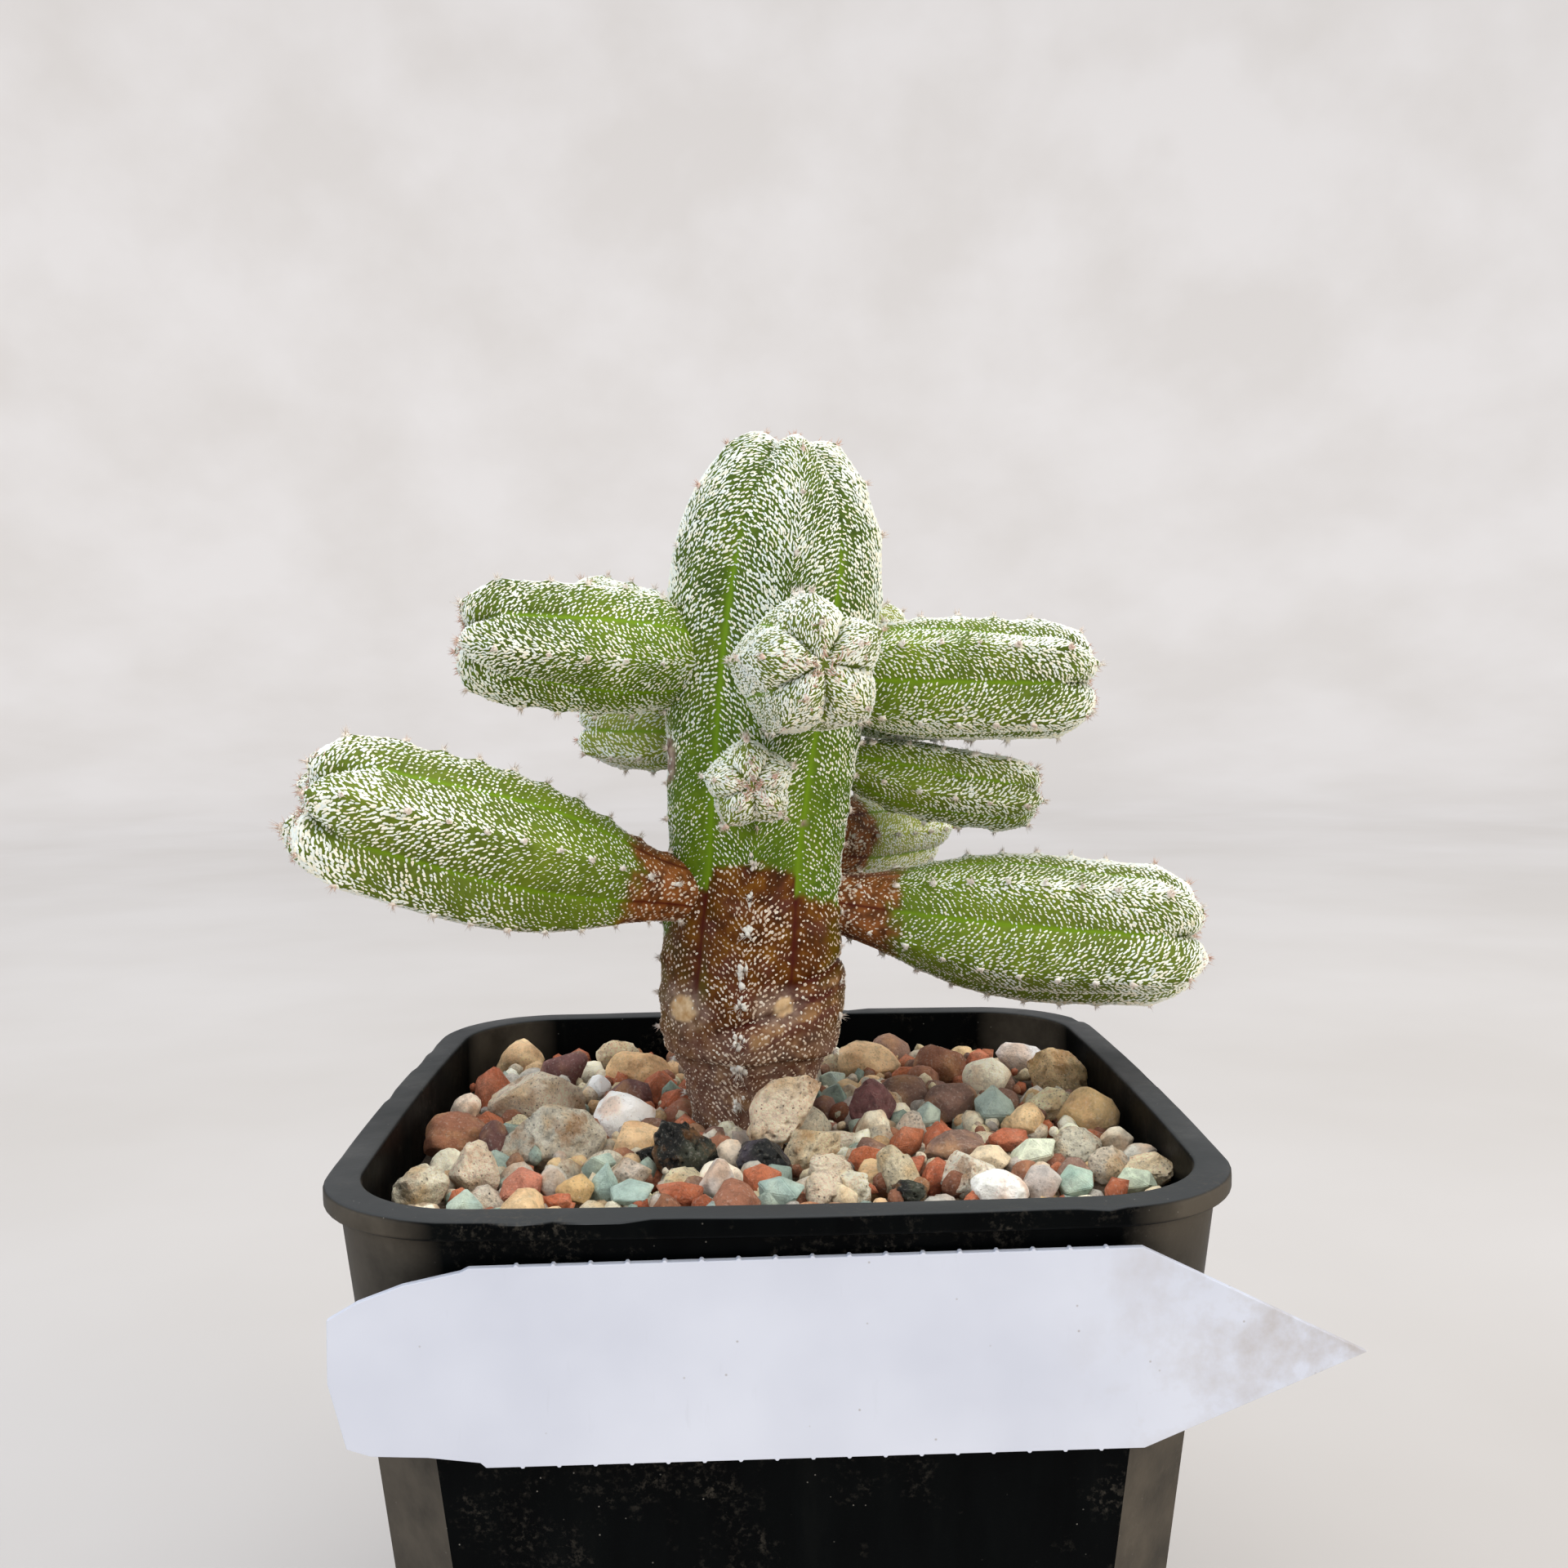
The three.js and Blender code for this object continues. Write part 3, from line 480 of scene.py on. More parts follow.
def lattice_value(cells, seed):
    """A repeatable number from -1 to 1 for each whole-numbered cell."""
    mixed = cells[..., 0] * 374761393 + cells[..., 1] * 668265263 + cells[..., 2] * 2147483647
    mixed = (mixed + seed * 144665) & 0xFFFFFFFF
    mixed = ((mixed ^ (mixed >> 13)) * 1274126177) & 0xFFFFFFFF
    mixed = mixed ^ (mixed >> 16)
    return (mixed & 0xFFFF) / 32767.5 - 1


def noise(points, scale, seed=0, octaves=1):
    """Smooth repeatable noise from -1 to 1 at points, with features about scale wide."""
    total = np.zeros(len(points))
    weight = 1.0
    weights = 0.0
    for octave in range(octaves):
        place = points / scale * 2**octave + 137.0 * octave
        cell = np.floor(place).astype(np.int64)
        part = place - cell
        ease = part * part * (3 - 2 * part)
        value = np.zeros(len(points))
        for corner in np.ndindex(2, 2, 2):
            step = np.array(corner)
            share = np.prod(np.where(step == 1, ease, 1 - ease), axis=1)
            value += share * lattice_value(cell + step, seed + octave)
        total += weight * value
        weights += weight
        weight *= 0.5
    return total / weights


def add_object(name, data):
    """A new object in the scene that holds data."""
    made = bpy.data.objects.new(name, data)
    bpy.context.scene.collection.objects.link(made)
    return made


def make_mesh(name, points, faces, attributes=None):
    """A smooth mesh object from points in millimetres and equal-sided faces, with values per point."""
    faces = np.asarray(faces, dtype=np.int32)
    count, sides = faces.shape
    mesh = bpy.data.meshes.new(name)
    mesh.vertices.add(len(points))
    mesh.vertices.foreach_set("co", (np.asarray(points, float) * MM).ravel())
    mesh.loops.add(count * sides)
    mesh.loops.foreach_set("vertex_index", faces.ravel())
    mesh.polygons.add(count)
    mesh.polygons.foreach_set("loop_start", np.arange(0, count * sides, sides, dtype=np.int32))
    mesh.polygons.foreach_set("use_smooth", np.full(count, True))
    mesh.update(calc_edges=True)
    for key, values in (attributes or {}).items():
        values = np.asarray(values, float)
        is_colour = values.ndim == 2
        layer = mesh.attributes.new(key, "FLOAT_COLOR" if is_colour else "FLOAT", "POINT")
        layer.data.foreach_set("color" if is_colour else "value", values.ravel())
    mesh.validate()
    return add_object(name, mesh)


def dress(piece, material, slot, *nodes):
    """Gives a piece its material and sets it in the place of CAD nodes. The slot is not used."""
    piece.data.materials.append(material)
    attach(piece, "root")
    if nodes:
        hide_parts(*nodes)
    return piece


class Shader:
    """A node material with short ways to add and join its nodes."""

    def __init__(self, name):
        self.material = bpy.data.materials.new(name)
        self.material.use_nodes = True
        self.tree = self.material.node_tree
        self.surface = self.tree.nodes["Principled BSDF"]

    def node(self, kind, inputs=None, **settings):
        """A new node of this kind with its inputs and settings."""
        made = self.tree.nodes.new("ShaderNode" + kind)
        for key, value in settings.items():
            setattr(made, key, value)
        for key, value in (inputs or {}).items():
            self.put(made.inputs[key], value)
        return made

    def put(self, socket, value):
        """Joins a socket to another or gives it a value."""
        if isinstance(value, bpy.types.NodeSocket):
            self.tree.links.new(value, socket)
        else:
            socket.default_value = value

    def finish(self, specular, **values):
        """Sets the surface's specular level and other inputs, and gives the material."""
        for key, value in values.items():
            self.put(self.surface.inputs[key.replace("_", " ")], value)
        self.surface.inputs["Specular IOR Level"].default_value = specular
        return self.material

    def place(self, scale=(1, 1, 1)):
        """Object coordinates in millimetres, stretched by scale."""
        where = self.node("TexCoord").outputs["Object"]
        sized = tuple(1000 * s for s in scale)
        return self.node("Mapping", {"Vector": where, "Scale": sized}).outputs["Vector"]

    def noise(self, size, detail=2.0, roughness=0.5, scale=(1, 1, 1)):
        """Noise with features about size millimetres wide, from 0 to 1."""
        made = self.node("TexNoise", {"Vector": self.place(scale), "Scale": 1 / size, "Detail": detail,
                                      "Roughness": roughness})
        return made.outputs["Fac"]

    def cells(self, size):
        """Distance from the middle of the nearest of cells about size millimetres wide."""
        made = self.node("TexVoronoi", {"Vector": self.place(), "Scale": 1 / size})
        return made.outputs["Distance"]

    def attribute(self, name, output="Fac", share=None):
        """A value per point, times share where that is given."""
        value = self.node("Attribute", attribute_name=name).outputs[output]
        return value if share is None else self.times(value, share)

    def ramp(self, value, *stops):
        """Screen colours or grey levels along value; each stop is (place, colour)."""
        made = self.node("ValToRGB", {"Fac": value})
        ramp = made.color_ramp
        while len(ramp.elements) < len(stops):
            ramp.elements.new(0.5)
        for element, (place, colour) in zip(ramp.elements, stops):
            element.position = place
            element.color = linear(*colour) if isinstance(colour, tuple) else (colour, colour, colour, 1)
        return made.outputs["Color"]

    def clouds(self, noise, *stops):
        """A ramp along noise; the noise is its size and detail, and where needed roughness and scale."""
        return self.ramp(self.noise(*noise), *stops)

    def mix(self, share, one, two, blend="MIX"):
        """From one to two by share; a tuple is a screen colour."""
        made = self.node("Mix", data_type="RGBA", blend_type=blend)
        self.put(made.inputs["Factor"], share)
        for socket, colour in zip(made.inputs[6:8], (one, two)):
            self.put(socket, linear(*colour) if isinstance(colour, tuple) else colour)
        return made.outputs[2]

    def math(self, operation, one, two=0.0):
        """The result of a sum on one or two values."""
        made = self.node("Math", operation=operation)
        self.put(made.inputs[0], one)
        self.put(made.inputs[1], two)
        return made.outputs[0]

    def times(self, one, two):
        """The product of two values."""
        return self.math("MULTIPLY", one, two)

    def bump(self, height, distance, strength=1.0, normal=None):
        """Normals raised by height over a distance in millimetres, on top of other normals if given."""
        inputs = {"Height": height, "Distance": distance * MM, "Strength": strength}
        made = self.node("Bump", inputs)
        if normal is not None:
            self.put(made.inputs["Normal"], normal)
        return made.outputs["Normal"]


@dataclass
class Limb:
    """A ribbed limb along a curve: its frame, radius, dome, form and the drawn numbers it uses."""

    name: str
    base: np.ndarray
    bend: np.ndarray
    tip: np.ndarray
    front: np.ndarray
    radius: float
    dome: float
    form: dict
    roll: tuple
    seed: int
    dome_steps: int

    @property
    def is_stem(self):
        return self.name == "main_stem"

    def __post_init__(self):
        self.length = float(np.linalg.norm(self.tip - self.base))
        self.dome_share = self.dome / self.length
        self.body_steps = math.floor(2 * (self.length - self.dome) / AREOLE_PITCH + 0.5)
        self.shoulder = self.radius * float(station_value(self.form["body"], 1.0))
        draw = make_random(self.seed)
        self.gains = np.array([(draw() - 0.5) * CREST_VARIATION for _ in range(RIBS)])


def station_value(stations, place):
    """A smooth curve through stations of (place, value)."""
    place = np.asarray(place, float)
    xs = np.array([s[0] for s in stations], float)
    ys = np.array([s[1] for s in stations], float)
    last = len(xs) - 1
    before = np.maximum(np.arange(last + 1) - 1, 0)
    after = np.minimum(np.arange(last + 1) + 1, last)
    slopes = (ys[after] - ys[before]) / (xs[after] - xs[before])
    i = np.clip(np.searchsorted(xs, place, side="left") - 1, 0, last - 1)
    step = xs[i + 1] - xs[i]
    t = np.clip((place - xs[i]) / step, 0, 1)
    rise = ys[i + 1] - ys[i]
    a = slopes[i] * step - rise
    b = rise - slopes[i + 1] * step
    return ys[i] + t * rise + t * (1 - t) * ((1 - t) * a + t * b)


def limb_profile(limb, v):
    """Share of the length and crest radius at v: 0 to 1 up the body, 1 to 2 over the dome."""
    angle = np.clip(v - 1, 0, 1) * np.pi / 2
    along = np.sin(angle) ** (2 / limb.form["power"])
    across = np.maximum(np.cos(angle), 0) ** (2 / limb.form["power"])
    body = limb.radius * station_value(limb.form["body"], np.minimum(v, 1))
    share = np.where(v <= 1, v * (1 - limb.dome_share), 1 - limb.dome_share * (1 - along))
    return share, np.where(v <= 1, body, limb.shoulder * across)


def limb_normal(limb, v):
    """Outward direction of the profile at v, as its share along the limb and across it."""
    step = 0.01
    before = limb_profile(limb, np.maximum(v - step, 0))
    after = limb_profile(limb, np.minimum(v + step, 2))
    along = (after[0] - before[0]) * limb.length
    across = after[1] - before[1]
    size = np.hypot(along, across)
    return -across / size, along / size


def limb_frame(limb, share):
    """Centre, direction, front and side of the limb at a share of its length."""
    t = share[..., None]
    centre = limb.base * (1 - t) ** 2 + limb.bend * 2 * t * (1 - t) + limb.tip * t**2
    tangent = (limb.bend - limb.base) * (1 - t) + (limb.tip - limb.bend) * t
    tangent = tangent / np.linalg.norm(tangent, axis=-1, keepdims=True)
    front = limb.front - tangent * (tangent @ limb.front)[..., None]
    front = front / np.linalg.norm(front, axis=-1, keepdims=True)
    return centre, tangent, front, np.cross(tangent, front)


def limb_point(limb, v, rib):
    """Points of the limb's surface; rib counts the crests round it and its halves are furrows."""
    v, rib = np.broadcast_arrays(np.asarray(v, float), np.asarray(rib, float))
    share, radius = limb_profile(limb, v)
    axial, radial = limb_normal(limb, v)
    nearest = np.floor(rib + 0.5)
    across = 2 * np.abs(rib - nearest)
    crest = nearest.astype(int) % RIBS
    edge = limb.form["edge"]
    dome = np.clip(v - 1, 0, 1)
    lobed = limb.form["lobes"] * smooth(0.15, 0.6, dome)
    sunk = edge * across + (1 - edge) * across**2
    sunk = sunk * (1 - lobed) + lobed * (0.3 * across + 0.7 * across**4)
    dome_scale = limb.shoulder * (radius / limb.shoulder) ** RELIEF_POWER
    scale = np.where(v <= 1, radius, dome_scale)
    depth = station_value(limb.form["depth"], np.minimum(v, 1)) * (1 + LOBE_DEPTH * lobed)
    dome_phase = (limb.body_steps + (v - 1) * limb.dome_steps) / 2
    phase = np.where(v <= 1, v * limb.body_steps / 2, dome_phase)
    beat = 0.5 + 0.5 * np.cos(2 * np.pi * (phase + (crest % 2) / 2))
    tooth = TOOTH * beat**2 * np.maximum(0, 1 - across / CREST_SHARE) ** 2
    fade = np.minimum(1, radius / limb.shoulder * 2)
    crown = CROWN * np.exp(-(((dome - CROWN_PLACE) / CROWN_SPREAD) ** 2)) * (1 - 2 * sunk)
    crown = crown - APEX_SINK * smooth(0.78, 1, dome)
    push = scale * (limb.gains[crest] * (1 - sunk) - depth * sunk) + limb.shoulder * crown
    push = push + tooth * fade
    centre, tangent, front, side = limb_frame(limb, share)
    roll = limb.roll[0] + (limb.roll[1] - limb.roll[0]) * share
    warp = WARP_DEGREES * np.sin(4 * np.pi * rib / RIBS + limb.seed)
    angle = np.radians(roll + RIB_STEP * rib + warp)
    reach = radius + radial * push
    outward = front * np.cos(angle)[..., None] + side * np.sin(angle)[..., None]
    return centre + tangent * (axial * push)[..., None] + outward * reach[..., None]


def stem_limb():
    """The limb of the upright stem."""
    middle = (STEM_FOOT + STEM_TOP) / 2
    return Limb(
        name="main_stem",
        base=np.array([STEM_X, STEM_Y, STEM_FOOT]),
        bend=np.array([STEM_BEND_X, STEM_Y, middle]),
        tip=np.array([STEM_TOP_X, STEM_Y, STEM_TOP]),
        front=np.array([0.0, -1.0, 0.0]),
        radius=STEM_RADIUS,
        dome=STEM_DOME,
        form=FORMS["stem"],
        roll=STEM_ROLL,
        seed=STEM_SEED,
        dome_steps=STEM_DOME_STEPS,
    )


def offset_limb(stem, name, index):
    """The limb of an offset, from its place on the stem to its tip."""
    azimuth, height, tip, sag, radius, roll, form = OFFSETS[name]
    turn = math.radians(azimuth)
    outward = np.array([math.sin(turn), -math.cos(turn), 0.0])
    share = (POT_HEIGHT + height - STEM_FOOT) / (STEM_TOP - STEM_FOOT)
    root = stem.base * (1 - share) ** 2 + stem.bend * 2 * share * (1 - share) + stem.tip * share**2
    body_share = min(share / (1 - stem.dome_share), 1)
    base = root + outward * (stem.radius * station_value(stem.form["body"], body_share) - NECK_DEPTH)
    end = np.array([tip[0], tip[1], POT_HEIGHT + tip[2]])
    bend = (base + end) / 2 + np.array([0, 0, 2 * sag])
    return Limb(
        name=name,
        base=base,
        bend=bend,
        tip=end,
        front=np.array([0.0, 0.0, 1.0]),
        radius=radius,
        dome=radius,
        form=FORMS[form],
        roll=(roll, roll),
        seed=OFFSET_SEED + index,
        dome_steps=5 if radius > LARGE_RADIUS else 4,
    )


def over_lip(points):
    """Height over the pot's lip."""
    return points[..., 2] - POT_HEIGHT


def crease_amounts(points):
    """How far points of the stem's front lie in a slanting crease and on the fold below one."""
    crease = np.zeros(len(points))
    fold = np.zeros(len(points))
    wave = 0.4 * noise(points, 2.2, 53, 2)
    for (x0, z0), (x1, z1) in CREASES:
        slope = (z0 - z1) / (x0 - x1)
        above = (over_lip(points) - z1 - slope * (points[:, 0] - x1) + wave) * math.cos(math.atan(slope))
        beyond = np.maximum(x1 - points[:, 0], 0) + np.maximum(points[:, 0] - x0, 0)
        reach = np.exp(-(((beyond + np.maximum(points[:, 1] - STEM_Y, 0)) / CREASE_FADE) ** 2))
        crease = np.maximum(crease, np.exp(-((above / CREASE_SPREAD) ** 2)) * reach)
        fold = np.maximum(fold, np.exp(-(((above + FOLD_DROP) / FOLD_SPREAD) ** 2)) * reach)
    return crease, fold


def brown_amount(limb, points, v, rib):
    """1 where the skin is brown and corky, 0 where it is green, with a ragged edge."""
    ragged = noise(points, 0.9, 5, 3)
    if limb.is_stem:
        line = np.interp(np.mod(rib, RIBS), [s[0] for s in BROWN_LINE], [s[1] for s in BROWN_LINE])
        return smooth(0.35, -0.35, over_lip(points) - line + 0.7 * ragged)
    reach = BROWN_NECKS.get(limb.name, 0.0)
    if reach == 0:
        return np.zeros(len(points))
    return smooth(0.035, -0.035, np.minimum(v, 1) - reach + 0.05 * ragged)


def spot_amount(points, spots, edge=0.35):
    """1 inside the front's spots (x, height over the lip, width, height), with a ragged edge."""
    amount = np.zeros(len(points))
    ragged = 0.2 * noise(points, 0.6, 9, 2)
    is_front = points[:, 1] < STEM_Y
    for x, height, wide, high in spots:
        away = np.hypot((points[:, 0] - x) / wide * 2, (over_lip(points) - height) / high * 2) + ragged
        amount = np.maximum(amount, smooth(1 + edge, 1 - edge, away) * is_front)
    return amount


def shape_stem(points, normals, rib):
    """Folds, scars and wrinkles of the stem's old foot, pushed along its normals."""
    height = over_lip(points)
    wave = 0.5 * noise(points, 4, 31)
    ring = np.exp(-(((height - FOOT_RING - wave) / FOOT_RING_WIDTH) ** 2))
    crease, fold = crease_amounts(points)
    foot = smooth(24, 12, height)
    wrinkle = 0.1 * noise(points * np.array([1, 1, 1.6]), 1.4, 41, 3)
    swell = 0.35 * np.exp(-(((height - 8.0) / 3.0) ** 2)) * noise(points, 3.0, 47)
    scar = spot_amount(points, SCARS)
    push = -FOOT_RING_DEPTH * ring - CREASE_DEPTH * crease + FOLD_HEIGHT * fold
    push += foot * (wrinkle + swell) + SCAR_HEIGHT * scar
    push -= FOOT_SHRINK * smooth(FOOT_RING + 0.6, FOOT_RING - 1.2, height)
    return points + normals * push[:, None]


def grid_normals(grid):
    """Outward unit normals of a grid of points that closes round its second axis."""
    up = np.gradient(grid, axis=0)
    round_step = np.roll(grid, -1, axis=1) - np.roll(grid, 1, axis=1)
    cross = np.cross(round_step, up)
    size = np.linalg.norm(cross, axis=2, keepdims=True)
    return cross / np.maximum(size, 1e-9)


def skin_mesh(limb, along_step, rib_points):
    """The limb's fine skin, with its furrows, brown parts and scars as values per point."""
    rows = int(limb.length / along_step)
    dome_rows = max(int(limb.dome * 1.5 / along_step), 12)
    v = np.concatenate([np.linspace(0, 1, rows), 1 + np.linspace(0, 1, dome_rows + 1)[1:-1]])
    rib = np.arange(RIBS * rib_points) / rib_points
    grid = limb_point(limb, v[:, None], rib[None, :])
    normals = grid_normals(grid)
    flat = grid.reshape(-1, 3)
    flat_v = np.repeat(v, len(rib))
    flat_rib = np.tile(rib, len(v))
    facing = normals.reshape(-1, 3)
    pits = sum(height * noise(flat, *settings) for height, *settings in SKIN_PITS)
    flat = flat + facing * pits[:, None]
    if limb.is_stem:
        flat = shape_stem(flat, facing, flat_rib)
    values = skin_values(limb, flat, facing, flat_v, flat_rib)
    values = {key: np.append(value, [value[0], value[-1]]) for key, value in values.items()}
    apex = limb_point(limb, np.array([2.0]), np.array([0.0]))
    points = np.vstack([flat, limb.base[None, :], apex])
    ends = [fan(len(flat), 0, len(rib)), fan(len(flat) + 1, len(flat) - len(rib), len(rib), True)]
    return points, np.vstack([split_quads(grid_faces(len(v), len(rib))), *ends]), values


def skin_values(limb, points, facing, v, rib):
    """How furrowed, brown, pale and so on each point of a limb's skin is, from 0 to 1."""
    across = 2 * np.abs(rib - np.floor(rib + 0.5))
    spacing = np.pi * limb_profile(limb, v)[1] / RIBS
    bare = furrow_bare(limb) * 1.2
    furrow = np.exp(-(((1 - across) * spacing / bare) ** 2)) * smooth(1.35, 1.0, v)
    furrow = furrow * furrow_fade(limb, v)
    brown = brown_amount(limb, points, v, rib)
    pale = PALE_SKIN.get(limb.name, 0.0)
    nothing = np.zeros(len(points))
    values = {
        "furrow": furrow,
        "brown": brown,
        "pale": np.full(len(points), pale),
        "olive": nothing,
        "scar": nothing,
        "cork": nothing,
        "plum": nothing,
        "rust": brown * (1 + 0.5 * pale),
        "vivid": smooth(1.0, 0.25, v),
    }
    if limb.is_stem:
        values.update(stem_values(points, facing, furrow, brown))
    return values


def stem_values(points, facing, furrow, brown):
    """What differs on the stem: olive sides, scars, corky and plum-coloured parts, and creases."""
    height = over_lip(points)
    sideways = smooth(0.55, 0.95, np.abs(facing[:, 0]) + 0.25 * noise(points, 2.4, 15, 2))
    corky = spot_amount(points, CORK_SPOTS, 0.3)
    corky = np.maximum(corky, 0.55 * spot_amount(points, SCAR_MARGINS, 0.5))
    crease, fold = crease_amounts(points)
    return {
        "furrow": np.maximum(furrow, crease * brown),
        "olive": sideways * smooth(3, 9, height),
        "scar": spot_amount(points, SCARS, 0.12),
        "cork": np.maximum(corky, 0.32 * smooth(8, 3, height)),
        "plum": np.maximum(fold, 0.6 * smooth(2.6, 1.6, height)),
        "rust": np.zeros(len(points)),
        "vivid": smooth(48, 20, height),
    }


def grid_faces(rows, columns):
    """Four-sided faces of a grid that closes round its columns."""
    row = np.arange(rows - 1)[:, None] * columns
    here = np.arange(columns)[None, :]
    there = (here + 1) % columns
    corners = [row + here, row + there, row + columns + there, row + columns + here]
    return np.stack([c.ravel() for c in corners], axis=1)


def split_quads(faces):
    """Two triangles for each four-sided face."""
    return np.vstack([faces[:, [0, 1, 2]], faces[:, [0, 2, 3]]])


def fan(tip, start, count, is_turned=False):
    """Triangles from the point tip to the closed ring of count points that starts at start."""
    here = start + np.arange(count)
    there = np.roll(here, -1)
    sides = [here, there] if is_turned else [there, here]
    return np.stack([np.full(count, tip), *sides], axis=1)


def surface_frames(limb, v, rib):
    """Points of the limb with unit vectors up the limb, towards larger rib, and outwards."""
    here = limb_point(limb, v, rib)
    ahead = limb_point(limb, np.minimum(v + 0.004, 1.999), rib)
    behind = limb_point(limb, np.maximum(v - 0.004, 0), rib)
    beside = limb_point(limb, v, rib + 0.01) - limb_point(limb, v, rib - 0.01)
    up = ahead - behind
    up /= np.maximum(np.linalg.norm(up, axis=-1, keepdims=True), 1e-9)
    out = np.cross(beside, up)
    out /= np.maximum(np.linalg.norm(out, axis=-1, keepdims=True), 1e-9)
    side = np.cross(up, out)
    return here, up, side, out


def limb_lengths(limb):
    """Tables along v of the distance up a crest and of half a rib's width."""
    v = np.linspace(0, 1.995, 500)
    crest = limb_point(limb, v, np.full_like(v, 0.1))
    steps = np.linalg.norm(np.diff(crest, axis=0), axis=1)
    distance = np.concatenate([[0], np.cumsum(steps)])
    ribs = np.linspace(0.0, 0.5, 14)
    lines = limb_point(limb, v[:, None], ribs[None, :] + 1.0)
    width = np.linalg.norm(np.diff(lines, axis=1), axis=2).sum(axis=1)
    return v, distance, width


def furrow_bare(limb):
    """Half the width of the bare line along a limb's furrows."""
    return FURROW_BARE if limb.is_stem else OFFSET_FURROW_BARE


def furrow_fade(limb, v):
    """The stem's furrow lines fade out towards its foot."""
    return smooth(*FURROW_FADE, v) if limb.is_stem else np.ones(len(v))


def fleck_columns(widest, step):
    """Distance from the crest of each column of flecks, and how far it is shifted up the limb."""
    near, far = math.radians(ROW_ANGLE_CREST), math.radians(ROW_ANGLE_FURROW)
    columns = []
    aside, shift = FLECK_EDGE, 0.0
    while aside < widest:
        angle = near + (far - near) * aside / widest
        columns.append((aside, shift))
        aside += step * math.sin(angle)
        shift += step * math.cos(angle)
    return columns


def fleck_places(limb, draw, spread, loose):
    """Where flecks may sit on a limb: v, rib, how far across from crest to furrow, and which side."""
    v_table, distance, width_table = limb_lengths(limb)
    spread = spread * limb.form["scale"]
    pitch = FLECK_PITCH * spread
    columns = fleck_columns(width_table.max(), FLECK_STEP * spread)
    rows = np.arange(-columns[-1][1] - pitch, distance[-1], pitch)
    scatter_up, scatter_aside = (loose * scatter for scatter in FLECK_SCATTER)
    found = []
    for crest in range(RIBS):
        for side in (-1, 1):
            phase = draw.random()
            for number, (column, shift) in enumerate(columns):
                up = rows + shift + (phase + 0.5 * (number % 2)) * pitch
                up = up + draw.normal(0, scatter_up, len(up))
                aside = column + draw.normal(0, scatter_aside, len(up))
                v = np.interp(up, distance, v_table)
                width = np.interp(up, distance, width_table)
                across = aside / np.maximum(width, 1e-6)
                bare = furrow_bare(limb) * np.maximum(smooth(1.25, 0.95, v), 0.25)
                bare = bare * furrow_fade(limb, v)
                keep = (up > 0) & (up < distance[-1] - 0.15) & (aside > 0.02) & (width - aside > bare)
                keep &= draw.random(len(up)) > MISSING_SHARE
                rib = crest + side * 0.5 * across
                found.append(np.stack([v, rib, across, np.full(len(up), side)], axis=1)[keep])
    return np.vstack(found)


def fleck_spots(limb, draw):
    """The flecks of a limb: close together on green skin and further apart on brown."""
    found = []
    for spread, loose, is_brown in ((1.0, 1.0, False), (BROWN_SPREAD, BROWN_LOOSE, True)):
        places = fleck_places(limb, draw, spread, loose)
        points = limb_point(limb, places[:, 0], places[:, 1])
        brown = brown_amount(limb, points, places[:, 0], places[:, 1])
        found.append(places[(brown >= 0.5) == is_brown])
    return np.vstack(found)


def fleck_sizes(limb, draw, v, across, out, brown, sparse):
    """Length, width and height of each fleck: smaller where they are sparse, woolly at the tip."""
    long_vary, wide_vary, rise_vary = FLECK_VARIATION
    count = len(v)
    scale = limb.form["scale"]
    tipward = smooth(0.9, 1.7, v)
    fronting = smooth(0.2, 0.9, -out[:, 1]) * brown
    length = FLECK_LONG * scale * (1 - 0.35 * sparse)
    length *= (1 + 0.2 * tipward) * (1.08 - 0.3 * across)
    length *= 1 - 0.2 * brown + 0.3 * fronting
    length *= draw.normal(1, long_vary, count)
    crest_width = 0.7 if limb.is_stem else 1.1
    narrow = crest_width + (1 - crest_width) * smooth(0, 0.35, across)
    # Tip wool per offset; on the left and right low offsets it also stands in for painted light and
    # shade.
    wool = 1 + (TIP_WOOL_AND_LIGHT.get(limb.name, 1.0) - 1.08) * tipward
    width = FLECK_WIDE * scale * narrow * (1 - 0.2 * sparse) * wool
    width *= 1 + 0.15 * brown + 0.35 * fronting
    width *= draw.normal(1, wide_vary, count)
    rise = FLECK_RAISE * (1 - 0.3 * sparse) * (1 - 0.2 * brown) * draw.normal(1, rise_vary, count)
    return length, width, rise


def fleck_shapes(draw, rise):
    """Uneven outlines of the flecks with their raised points, and the height of every corner."""
    count = len(rise)
    ring = FLECK_RING[None] * (1 + FLECK_UNEVEN * draw.normal(0, 1, (count, FLECK_CORNERS, 1)))
    base = np.full((count, FLECK_CORNERS), -FLECK_ROOT)
    base[:, 0] = 0.45 * rise
    ahead, aside = draw.normal(0, TOP_UNEVEN, count), draw.normal(0, TOP_UNEVEN, count)
    top = np.stack([FLECK_TOP + ahead, aside], axis=1)
    flat = np.concatenate([ring, top[:, None]], axis=1)
    return flat, np.concatenate([base, rise[:, None]], axis=1)


